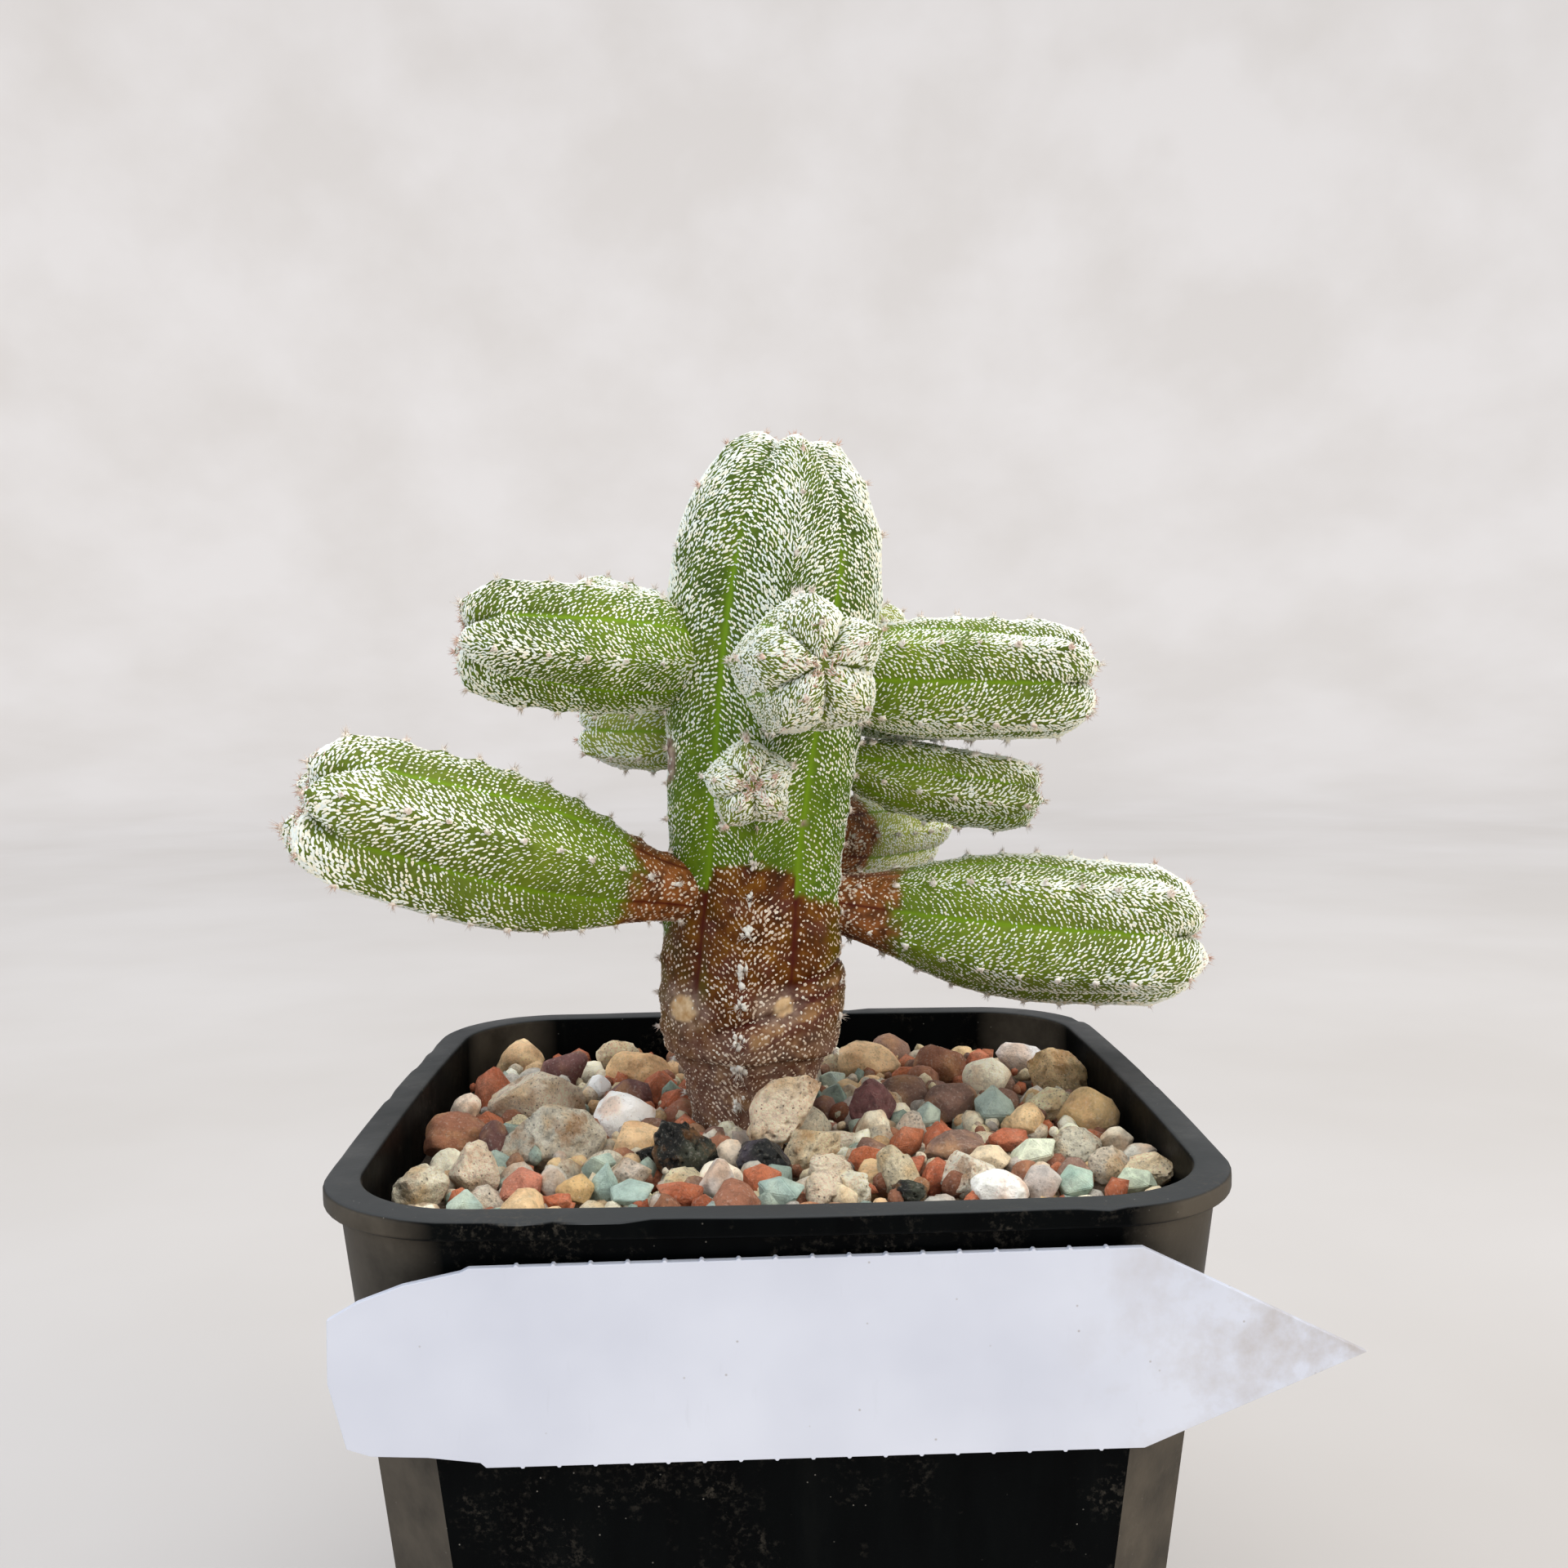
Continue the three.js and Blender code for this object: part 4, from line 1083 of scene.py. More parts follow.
def fleck_mesh(limb, draw):
    """Every fleck of a limb as one mesh of low pointed tufts, lifted at their forward ends."""
    v, rib, across, side = fleck_spots(limb, draw).T
    centre, up, beside, out = surface_frames(limb, v, rib)
    brown = brown_amount(limb, centre, v, rib)
    count = len(v)
    if limb.is_stem:
        sparse = smooth(*STEM_SPARSE, over_lip(centre))
        centre = shape_stem(centre, out, rib)
        bare_chance = 0.9 * spot_amount(centre, SCARS + CORK_SPOTS)
    else:
        sparse = smooth(*OFFSET_SPARSE, v) * SPARSE.get(limb.name, limb.form["sparse"])
        bare_chance = np.zeros(count)
    bare_chance = np.maximum(bare_chance, 0.12 * sparse * (1 - brown))
    keep = draw.random(count) > bare_chance
    angle = ROW_ANGLE_CREST + (ROW_ANGLE_FURROW - ROW_ANGLE_CREST) * across - 8 * (1 - across)
    angle = np.radians(angle + draw.normal(0, FLECK_TURN, count) * (1 + brown))
    along = up * np.cos(angle)[:, None] + beside * (side * np.sin(angle))[:, None]
    wide = np.cross(out, along)
    length, width, rise = fleck_sizes(limb, draw, v, across, out, brown, sparse)
    flat, lift = fleck_shapes(draw, rise)
    points = centre[:, None] + along[:, None] * (flat[..., :1] * length[:, None, None])
    points = points + wide[:, None] * (flat[..., 1:] * width[:, None, None])
    points = points + out[:, None] * lift[..., None]
    tint = draw.random(count)
    corners = FLECK_CORNERS + 1
    values = {"tint": np.repeat(tint[keep], corners), "brown": np.repeat(brown[keep], corners)}
    points = points[keep].reshape(-1, 3)
    offsets = corners * np.arange(int(keep.sum()))[:, None, None]
    return points, (FLECK_FACES[None] + offsets).reshape(-1, 3), values


def icosphere(level):
    """Unit directions and triangles of a sphere cut finer level times."""
    shape = bmesh.new()
    bmesh.ops.create_icosphere(shape, subdivisions=level, radius=1)
    points = np.array([v.co[:] for v in shape.verts])
    faces = np.array([[v.index for v in f.verts] for f in shape.faces])
    shape.free()
    return points / np.linalg.norm(points, axis=1, keepdims=True), faces


def gather(parts):
    """Joins (points, faces, values) parts into one."""
    points, faces, values, start = [], [], {}, 0
    for part_points, part_faces, part_values in parts:
        points.append(part_points)
        faces.append(np.asarray(part_faces) + start)
        start += len(part_points)
        for key, value in part_values.items():
            values.setdefault(key, []).append(value)
    joined = {key: np.concatenate(value) for key, value in values.items()}
    return np.vstack(points), np.vstack(faces), joined


def areole_places(limb):
    """v and rib of each areole: on a crest, at every tooth."""
    places = []
    steps = limb.body_steps + limb.dome_steps
    for crest in range(RIBS):
        for step in range(1, steps):
            if step % 2 == crest % 2:
                body = step <= limb.body_steps
                v = step / limb.body_steps if body else 1 + (step - limb.body_steps) / limb.dome_steps
                if v < AREOLE_HIGHEST:
                    places.append((v, crest))
    return np.array(places, float)


def wool_pad(centre, axes, size, youth, woolly, pink, draw):
    """The pad of an areole: one lump, or several where the stem's front crest is woolly."""
    sphere, faces = icosphere(1)
    parts = []
    for _ in range(1 + int(PAD_LUMPS * woolly)):
        lump = size * (1 - 0.3 * youth if woolly == 0 else 0.35 + 0.25 * draw.random())
        shape = sphere * (1 + 0.3 * draw.normal(0, 1, (len(sphere), 1)))
        shape = shape * (lump * PAD_SHAPE)
        shift = draw.normal(0, 1, 3) * PAD_SCATTER * size * min(1, 2 * woolly)
        points = centre + (shape + shift) @ axes + axes[2] * PAD_RISE
        parts.append((points, faces, {"pink": np.full(len(points), pink)}))
    return parts


def areole_hairs(centre, axes, size, pink, draw):
    """The hairs that lean out of an areole all round."""
    up, side, out = axes
    parts = []
    for _ in range(HAIR_COUNT):
        turn = draw.random() * 2 * np.pi
        lean = 0.1 + 0.5 * draw.random() ** 1.5
        spread = up * np.cos(turn) + side * np.sin(turn)
        direction = out * (1 - lean) + spread * lean
        root = centre + spread * size * 0.6 * draw.random()
        length = size * (HAIR_LEAST + HAIR_SPREAD * draw.random())
        shade = min(1, pink + 0.3 * draw.random())
        parts.append(blade(root, direction, length, HAIR_WIDTH, draw, shade))
    return parts


def areole_spines(centre, axes, pink, draw):
    """One or two short spines that stand in an areole."""
    up, side, out = axes
    parts = []
    for _ in range(int(draw.integers(1, 3))):
        turn = draw.random() * 2 * np.pi
        direction = out + 0.35 * (up * np.cos(turn) + side * np.sin(turn))
        length = SPINE_LEAST + SPINE_SPREAD * draw.random()
        parts.append(blade(centre, direction, length, SPINE_WIDTH, draw, pink))
    return parts


def areole_parts(limb, draw):
    """Wool and spines of every areole of a limb, and the wool of its tip."""
    places = areole_places(limb)
    centre, up, side, out = surface_frames(limb, places[:, 0], places[:, 1])
    if limb.is_stem:
        centre = shape_stem(centre, out, places[:, 1])
    height = over_lip(centre)
    wool, spines = [], []
    for i, (v, crest) in enumerate(places):
        if limb.is_stem and height[i] < AREOLE_LOWEST:
            continue
        youth = float(smooth(0.8, 1.6, v))
        woolly = 0.9 * float(smooth(*WOOLLY_CREST, height[i])) if limb.is_stem and crest == 0 else 0
        pink = draw.random() * (0.25 + 0.5 * youth) * (1 - woolly)
        size = AREOLE_SIZE * draw.normal(1, 0.18) * (1 + 0.2 * youth + woolly)
        axes = np.stack([up[i], side[i], out[i]])
        wool += wool_pad(centre[i], axes, size, youth, woolly, pink, draw)
        wool += areole_hairs(centre[i], axes, size, pink, draw)
        spines += areole_spines(centre[i], axes, pink, draw)
    return wool + apex_wool(limb, draw), spines


def apex_wool(limb, draw):
    """A small mat of pinkish brown hairs in the sunken tip, thinning out along the crests."""
    parts = []
    for _ in range(STEM_APEX_HAIRS if limb.is_stem else OFFSET_APEX_HAIRS):
        rib = draw.integers(RIBS) + draw.normal(0, 0.12)
        v = AREOLE_HIGHEST - APEX_DEPTH * draw.random() ** 2
        centre, up, side, out = surface_frames(limb, np.array([v]), np.array([rib]))
        turn = draw.random() * 2 * np.pi
        spread = up[0] * math.cos(turn) + side[0] * math.sin(turn)
        direction = out[0] * 0.5 + spread * draw.random()
        shade = 0.45 + 0.55 * draw.random()
        length = APEX_HAIR_LEAST + APEX_HAIR_SPREAD * draw.random()
        parts.append(blade(centre[0], direction, length, APEX_HAIR_WIDTH, draw, shade))
    return parts


def blade(root, direction, length, width, draw, pink):
    """A thin three-sided pointed hair."""
    direction = direction / np.linalg.norm(direction)
    helper = np.array([0.3, 0.5, 0.8]) + 0.3 * draw.normal(0, 1, 3)
    one = np.cross(direction, helper)
    one /= np.linalg.norm(one)
    two = np.cross(direction, one)
    corners = [root + width * (one * math.cos(a) + two * math.sin(a)) for a in (0, 2.094, 4.189)]
    points = np.array([*corners, root + direction * length])
    return points, np.array([(0, 1, 3), (1, 2, 3), (2, 0, 3), (0, 2, 1)]), {"pink": np.full(4, pink)}


def green_skin(shader, fine):
    """Green skin: olive to vivid in broad patches, paler on some offsets and bright in the furrows. The
    olive is kept dark as painted shade between the crowded flecks.
    """
    broad = shader.noise(5, 3)
    # The olive ramp holds painted shade between the flecks; the vivid ramp is for skin where they are
    # sparse.
    green = shader.ramp(broad, (0.3, (50, 68, 15)), (0.5, (67, 88, 20)), (0.72, (92, 108, 27)))
    vivid = shader.ramp(broad, (0.3, (66, 94, 10)), (0.5, (87, 116, 14)), (0.72, (112, 136, 20)))
    green = shader.mix(shader.attribute("vivid"), green, vivid)
    green = shader.mix(0.3, green, shader.ramp(fine, (0.3, (42, 60, 12)), (0.7, (108, 132, 34))))
    green = shader.mix(shader.attribute("pale"), green, (160, 168, 70))
    return shader.mix(shader.attribute("furrow"), green, (108, 142, 20))


def brown_skin(shader):
    """Old brown skin: olive at the sides, plum, tan and rusty in places, and dark red in the furrows."""
    bark = shader.clouds((1.6, 4), (0.3, (56, 25, 2)), (0.5, (94, 50, 6)), (0.7, (126, 80, 14)))
    bark = shader.mix(shader.attribute("olive", share=0.85), bark, (92, 78, 4))
    plum = shader.clouds((2.6, 2), (0.5, 0.0), (0.66, 0.5))
    plum = shader.math("MAXIMUM", plum, shader.attribute("plum", share=0.75))
    bark = shader.mix(plum, bark, (104, 58, 52))
    tan = shader.clouds((1.9, 3), (0.54, 0.0), (0.64, 1.0))
    bark = shader.mix(shader.times(tan, shader.attribute("plum")), bark, (168, 128, 84))
    rust = shader.clouds((1.1, 3), (0.35, (88, 52, 30)), (0.6, (158, 96, 50)))
    bark = shader.mix(shader.attribute("rust", share=0.65), bark, rust)
    return shader.mix(shader.attribute("furrow", share=0.9), bark, (74, 14, 8))


def skin_material():
    """Green skin that turns brown at the foot, with cork-coloured marks and pale scars."""
    shader = Shader("cactus_skin")
    fine = shader.noise(0.8, 3)
    colour = shader.mix(shader.attribute("brown"), green_skin(shader, fine), brown_skin(shader))
    cork = shader.ramp(fine, (0.35, (112, 88, 76)), (0.65, (176, 156, 142)))
    colour = shader.mix(shader.attribute("cork"), colour, cork)
    scar = shader.clouds((0.7, 3), (0.3, (192, 150, 102)), (0.7, (226, 200, 162)))
    colour = shader.mix(shader.attribute("scar"), colour, scar)
    bumps = shader.bump(shader.noise(0.25, 4, 0.6), 0.05, 0.6)
    return shader.finish(0.1, Base_Color=colour, Roughness=0.5, Normal=bumps)


def fleck_material():
    """White wool, cooler or creamier from fleck to fleck, and dull pinkish beige on brown skin."""
    shader = Shader("fleck_wool")
    tint = shader.attribute("tint")
    white = shader.ramp(tint, (0.0, (222, 229, 226)), (0.5, (243, 245, 238)), (1.0, (240, 234, 214)))
    dull = shader.ramp(tint, (0.0, (198, 174, 152)), (0.6, (224, 206, 188)), (1.0, (242, 234, 222)))
    colour = shader.mix(shader.attribute("brown"), white, dull)
    bumps = shader.bump(shader.noise(0.08, 2), 0.03, 0.5)
    return shader.finish(0.1, Base_Color=colour, Roughness=0.95, Normal=bumps)


def areole_material():
    """Greyish white wool that turns pinkish brown on the younger areoles."""
    shader = Shader("areole_wool")
    pink = shader.attribute("pink")
    colour = shader.ramp(pink, (0.0, (234, 232, 226)), (0.4, (224, 208, 196)), (1.0, (206, 156, 136)))
    stains = shader.clouds((0.2, 2), (0.5, 0.0), (0.75, 0.35))
    return shader.finish(0.1, Base_Color=shader.mix(stains, colour, (170, 128, 116)), Roughness=0.95)


def spine_material():
    """Horny brown to beige."""
    shader = Shader("spine")
    colour = shader.clouds((0.5, 2), (0.3, (120, 92, 74)), (0.7, (176, 150, 132)))
    return shader.finish(0.5, Base_Color=colour, Roughness=0.6)


def make_plant():
    """The stem and its offsets, each with its flecks, and the areoles of them all."""
    draw = np.random.default_rng(PLANT_SEED)
    skin, fleck = skin_material(), fleck_material()
    stem = stem_limb()
    limbs = [stem] + [offset_limb(stem, name, i) for i, name in enumerate(OFFSETS)]
    wool, spines = [], []
    for limb in limbs:
        points, faces, values = skin_mesh(limb, *(STEM_MESH if limb.is_stem else OFFSET_MESH))
        body = make_mesh(limb.name + "_skin", points, faces, values)
        dress(body, skin, "cactus_skin", limb.name)
        points, faces, values = fleck_mesh(limb, draw)
        tufts = make_mesh(limb.name + "_flecks", points, faces, values)
        dress(tufts, fleck, "cactus_skin")
        limb_wool, limb_spines = areole_parts(limb, draw)
        wool += limb_wool
        spines += limb_spines
    dress(make_mesh("areole_wool", *gather(wool)), areole_material(), "cactus_skin")
    dress(make_mesh("areole_spines", *gather(spines)), spine_material(), "cactus_skin")


def turn_x(points, angle):
    """Points turned about the X axis."""
    c, s = math.cos(angle), math.sin(angle)
    return points @ np.array([(1, 0, 0), (0, c, s), (0, -s, c)])


def turn_y(points, angle):
    """Points turned about the Y axis."""
    c, s = math.cos(angle), math.sin(angle)
    return points @ np.array([(c, 0, -s), (0, 1, 0), (s, 0, c)])


def clip_facets(points, draw, count, low, high):
    """Cuts flat facets into a round shape."""
    for _ in range(count):
        normal = draw.normal(0, 1, 3)
        normal /= np.linalg.norm(normal)
        over = np.maximum(points @ normal - (low + (high - low) * draw.random()), 0)
        points = points - over[:, None] * normal
    return points


def broken_shape(corners, draw, is_fine):
    """A sharp broken chip: the hull of its corners, its edges lightly worn, with split faces."""
    shape = bmesh.new()
    spread = 0.78 + 0.5 * draw.random(len(corners))
    for corner, reach in zip(corners, spread):
        shape.verts.new(corner * reach)
    bmesh.ops.convex_hull(shape, input=shape.verts)
    loose = [v for v in shape.verts if not v.link_faces]
    bmesh.ops.delete(shape, geom=loose, context="VERTS")
    merge = math.radians(BROKEN_MERGE)
    bmesh.ops.dissolve_limit(shape, angle_limit=merge, verts=shape.verts, edges=shape.edges)
    if is_fine:
        bmesh.ops.bevel(shape, geom=shape.edges[:], offset=BROKEN_BEVEL, segments=2, affect="EDGES")
        bmesh.ops.triangulate(shape, faces=shape.faces)
        long_edges = [e for e in shape.edges if e.calc_length() > BROKEN_EDGE]
        bmesh.ops.subdivide_edges(shape, edges=long_edges, cuts=2)
    bmesh.ops.triangulate(shape, faces=shape.faces)
    points = np.array([v.co[:] for v in shape.verts])
    faces = np.array([[v.index for v in f.verts] for f in shape.faces])
    shape.free()
    return points, faces


@dataclass
class Stone:
    """A stone of one kind and colour: its middle, size, lift over the gravel's level and lean."""

    kind: str
    colour: str
    x: float
    y: float
    width: float
    height: float
    lift: float = 0.0
    lean: float | None = None


def stone_part(stone, seed, level):
    """One stone as the CAD draws it, with its kind's facets, lumps and pores."""
    kind = stone.kind
    random = make_random(seed)
    draw = np.random.default_rng(seed)
    swells = np.array([1 + (random() - 0.5) * STONE_JITTER for _ in ICO_ORDER])
    corners = ICO_CORNERS[ICO_ORDER]
    if kind in ("shard", "chip"):
        points, faces = broken_shape(corners * swells[:, None], draw, level > GRIT_CUT)
        points = points * (1 + 0.03 * noise(points + seed, 0.35, seed, 2))[:, None]
    else:
        facets, low, high, lump_size, lump, grain, pore = STONE_FORMS[kind]
        directions, faces = icosphere(level)
        nearness = np.maximum(directions @ corners.T, 0) ** 10
        swell = (nearness @ swells) / nearness.sum(axis=1)
        place = directions + draw.random(3) * 50
        points = directions * (swell * (1 + lump * noise(place, lump_size, seed, 3)))[:, None]
        points = clip_facets(points, draw, facets, low, high) * 1.06
        fine = grain * noise(place, 0.24, seed + 3, 3)
        pits = pore * smooth(0.25, 0.7, noise(place, 0.2, seed + 1, 2))
        points = points * (1 + fine - pits)[:, None]
    tall = max(stone.height, STONE_LEAST_HEIGHT * stone.width)
    deep = (stone.width + tall) * STONE_DEPTH_SHARE
    points = points * np.array([stone.width / 2, deep / 2, tall / 2])
    lean = (random() - 0.5) * STONE_TILT if stone.lean is None else stone.lean
    points = turn_y(points, -lean)
    points = turn_x(points, (random() - 0.5) * STONE_TILT)
    points = points + np.array([stone.x, stone.y, STONE_LEVEL + stone.lift])
    return points, faces, {"stone": stone_colours(stone, points, draw, seed)}


def stone_colours(stone, points, draw, seed):
    """A stone's colour at each of its points: its own tone, with a paler or rustier patch."""
    base = np.array(linear(*STONE_COLOURS[stone.colour]))
    base[:3] *= draw.normal(1, 0.1)
    base[:3] *= 1 + draw.normal(0, 0.02, 3)
    patch = smooth(0.0, 0.5, noise(points + seed, 1.9, seed + 5, 3))[:, None]
    accent = np.array(linear(*STONE_ACCENTS[stone.kind]))
    colours = base * (1 - PATCH_SHARE * patch) + accent * PATCH_SHARE * patch
    colours[:, 3] = 1
    return np.clip(colours, 0, 1)


def inside_pot(x, y, radius):
    """Whether a stone of this radius fits in the pot's opening."""
    half = OPENING_HALF - WALL_MARGIN - radius
    corner_x = max(abs(x) - (half - OPENING_CORNER), 0)
    corner_y = max(abs(y) - (half - OPENING_CORNER), 0)
    return math.hypot(corner_x, corner_y) < OPENING_CORNER


def filler_stones(listed):
    """The CAD's small stones on a staggered grid between the listed ones."""
    random = make_random(FILLER_SEED)
    rows = math.ceil(OPENING_HALF / FILLER_PITCH)
    row_step = FILLER_PITCH * math.sin(math.pi / 3)
    fillers = []
    for row in range(-rows - 1, rows + 2):
        for column in range(-rows, rows + 1):
            stagger = 0 if row % 2 == 0 else 0.5
            x = (column + stagger + (random() - 0.5) * 0.5) * FILLER_PITCH
            y = (row + (random() - 0.5) * 0.5) * row_step
            size = FILLER_LEAST + FILLER_SPREAD * random() * random()
            rise = FILLER_LEVEL - STONE_LEVEL + (random() - 0.5) * FILLER_RISE
            taken = any(
                math.hypot(x - s.x, y - s.y) < s.width * 0.5 + size * FILLER_OVERLAP for s in listed
            )
            in_stem = math.hypot(x - STEM_X, y - STEM_Y) < FILLER_CLEAR
            if not taken and not in_stem and inside_pot(x, y, size / 2):
                kind, colour = FILLER_KINDS[len(fillers) * 7 % len(FILLER_KINDS)]
                fillers.append(Stone(kind, colour, x, y, size, size, rise))
    return fillers


def grit_stones():
    """Fine grit that lies between the stones."""
    draw = np.random.default_rng(GRIT_SEED)
    grit = []
    while len(grit) < GRIT_COUNT:
        x, y = (draw.random(2) * 2 - 1) * (OPENING_HALF - 1)
        size = GRIT_LEAST + GRIT_SPREAD * draw.random() ** 1.5
        if inside_pot(x, y, size / 2) and math.hypot(x - STEM_X, y - STEM_Y) > GRIT_CLEAR:
            kind, colour = FILLER_KINDS[int(draw.integers(len(FILLER_KINDS)))]
            rise = GRIT_LEVEL + GRIT_RISE * draw.random()
            grit.append(Stone(kind, colour, x, y, size, size, rise))
    return grit


def stone_level(stone):
    """How finely a stone is cut: finer towards the front and when it is large."""
    if stone.y < 0 and stone.width > FINE_WIDTH:
        return FINE_CUT
    return MIDDLE_CUT if stone.y < FAR_Y or stone.width > LARGE_WIDTH else PLAIN_CUT


def stone_material(kind, roughness, speckle, pores, grain):
    """A stone's own colour with stains, patches of specks, dark pores and grain, each from 0 to 1."""
    shader = Shader("stone_" + kind)
    colour = shader.attribute("stone", "Color")
    mottle = shader.clouds((1.2, 6, 0.72), (0.34, 0.55), (0.5, 0.85), (0.64, 1.0))
    colour = shader.mix(0.9, colour, shader.times(mottle, STONE_GAIN), "MULTIPLY")
    sandy = shader.clouds((0.36, 4, 0.75), (0.34, 0.62), (0.46, 0.9), (0.6, 1.0))
    colour = shader.mix(0.9 * grain, colour, shader.times(sandy, STONE_GAIN), "MULTIPLY")
    stain = shader.clouds((2.4, 5, 0.65), (0.52, 0.0), (0.64, 0.75 * pores))
    colour = shader.mix(stain, colour, (182, 128, 78))
    patches = shader.clouds((1.5, 2), (0.42, 0.0), (0.6, 1.0))
    dots = shader.ramp(shader.cells(0.34), (0.16, speckle), (0.34, 0.0))
    colour = shader.mix(shader.times(dots, patches), colour, (92, 76, 62))
    clumps = shader.clouds((0.9, 4, 0.7), (0.4, 0.1), (0.6, 0.9))
    pits = shader.times(shader.ramp(shader.cells(0.5), (0.1, pores), (0.24, 0.0)), clumps)
    colour = shader.mix(pits, colour, (84, 66, 52))
    pale = shader.clouds((0.28, 3), (0.56, 0.0), (0.7, 0.5 * speckle))
    colour = shader.mix(pale, colour, (244, 238, 226))
    rough = shader.bump(shader.noise(0.5, 6, 0.75), 0.7 * grain)
    rough = shader.bump(shader.math("SUBTRACT", 1.0, pits), 0.2, 0.9, rough)
    return shader.finish(0.3, Base_Color=colour, Roughness=roughness, Normal=rough)


def bed_rings():
    """Rings down the outside of the gravel, from its top edge to the pot's floor."""
    inset = WALL_THICK + GAP
    rounded = OPENING_CORNER - GAP
    step_bottom = COLLAR_BOTTOM - STEP_DROP
    top = POT_HEIGHT - BED_DROP
    return [
        square_ring(collar_half(top) - inset, rounded, 0, top),
        square_ring(collar_half(COLLAR_BOTTOM) - inset, rounded, 0, COLLAR_BOTTOM),
        square_ring(wall_half(step_bottom) - inset, CHAMFER_LEG, 1, step_bottom),
        square_ring(wall_half(FLOOR_THICK) - inset, CHAMFER_LEG, 1, FLOOR_THICK),
    ]


def make_bed(material):
    """The filling of the pot under its stones, uneven on top, kept dark: brown soil with painted shade
    between the stones.
    """
    rings = bed_rings()
    top = rings[0]
    dips = []
    for share in DIP_SHARES:
        inner = top * np.array([share, share, 1.0])
        inner[:, 2] += DIP_DEPTH * noise(inner, 3, 77, 2)
        dips.append(inner)
    rings = dips + rings
    count = len(top)
    points = np.vstack([*rings, [(0, 0, FLOOR_THICK)]])
    bottom = fan(len(points) - 1, (len(rings) - 1) * count, count)
    faces = np.vstack([split_quads(grid_faces(len(rings), count)[:, ::-1]), bottom])
    colours = np.tile(np.array(linear(*BED_SOIL_AND_SHADE_COLOUR)), (len(points), 1))
    dress(make_mesh("gravel_fill", points, faces, {"stone": colours}), material, "gravel", "gravel_bed")


def make_gravel():
    """The filled pot's bed, its stones by kind, and the grit between them."""
    materials = {kind: stone_material(kind, *surface) for kind, surface in STONE_SURFACES.items()}
    make_bed(materials["pebble"])
    listed = [Stone(*row) for row in STONES]
    stones = [(stone, stone_level(stone)) for stone in listed]
    stones += [(stone, PLAIN_CUT) for stone in filler_stones(listed)]
    groups = {}
    for number, (stone, level) in enumerate(stones):
        groups.setdefault(stone.kind, []).append(stone_part(stone, number + 1, level))
    for number, stone in enumerate(grit_stones()):
        groups.setdefault("grit", []).append(stone_part(stone, GRIT_FIRST_SEED + number, GRIT_CUT))
    for kind, parts in groups.items():
        piece = make_mesh("stones_" + kind, *gather(parts))
        if kind in ("shard", "chip", "glossy"):
            piece.data.set_sharp_from_angle(angle=math.radians(STONE_SHARP))
        dress(piece, materials[kind], "gravel", "gravel_bed")


def square_ring(half, corner, flat, z, corner_steps=14, side_steps=20):
    """A square ring whose corners go from round (flat = 0) to a chamfer (flat = 1)."""
    points = []
    for quarter in range(4):
        turn = quarter * math.pi / 2
        c, s = math.cos(turn), math.sin(turn)
        outline = []
        for i in range(1, side_steps):
            along = 2 * i / side_steps - 1
            swell = SIDE_BULGE * (1 - flat) * (1 - along * along)
            outline.append((half + swell, along * (half - corner)))
        for i in range(corner_steps + 1):
            share = i / corner_steps
            angle = share * math.pi / 2
            x = half - corner + corner * (math.cos(angle) * (1 - flat) + (1 - share) * flat)
            y = half - corner + corner * (math.sin(angle) * (1 - flat) + share * flat)
            outline.append((x, y))
        points += [(x * c - y * s, x * s + y * c, z) for x, y in outline]
    return np.array(points)


def collar_half(z):
    """Half the pot's outer width at height z of its collar."""
    return WALL_TOP_HALF - WALL_TAPER * (POT_HEIGHT - LIP_DROP - z)


def wall_half(z):
    """Half the pot's outer width at height z below its collar."""
    return collar_half(z) - COLLAR_STEP


def rounded_edge(half, corner, z, radius, start, end, steps=5):
    """Rings round an edge fillet; the angles are from outwards (0) to upwards (90)."""
    rings = []
    for i in range(steps + 1):
        angle = math.radians(start + (end - start) * i / steps)
        out, rise = radius * math.cos(angle), radius * math.sin(angle)
        rings.append(square_ring(half + out, corner + out, 0, z + rise))
    return rings


def pot_rings():
    """Rings of the pot's surface: up the outside, over the lip and down the inside to the floor."""
    under = POT_HEIGHT - LIP_DROP
    step_bottom = COLLAR_BOTTOM - STEP_DROP
    rounded = OPENING_CORNER + WALL_THICK
    edge = LIP_ROUND
    rings = [square_ring(wall_half(0) - FOOT_ROUND, CHAMFER_LEG - FOOT_ROUND, 1, 0)]
    rings.append(square_ring(wall_half(FOOT_ROUND), CHAMFER_LEG, 1, FOOT_ROUND))
    rings += [square_ring(wall_half(z), CHAMFER_LEG, 1, z) for z in np.linspace(8, step_bottom, 7)]
    rings.append(square_ring(wall_half(step_bottom), CHAMFER_LEG, 1, step_bottom + 0.2))
    rings += [square_ring(collar_half(z), rounded, 0, z) for z in np.linspace(COLLAR_BOTTOM, under, 6)]
    lip_half, lip_corner = LIP_HALF - edge, LIP_CORNER - edge
    rings += rounded_edge(lip_half, lip_corner, under + edge, edge, -90, 0)
    rings += rounded_edge(lip_half, lip_corner, POT_HEIGHT - edge, edge, 0, 90)
    rings += rounded_edge(OPENING_HALF + edge, OPENING_CORNER + edge, POT_HEIGHT - edge, -edge, -90, 0)
    for z in np.linspace(COLLAR_BOTTOM + 8, COLLAR_BOTTOM, 3):
        half = min(collar_half(z) - WALL_THICK, OPENING_HALF)
        rings.append(square_ring(half, OPENING_CORNER, 0, z))
    for z in (step_bottom, FLOOR_THICK):
        rings.append(square_ring(wall_half(z) - WALL_THICK, CHAMFER_LEG, 1, z))
    return rings


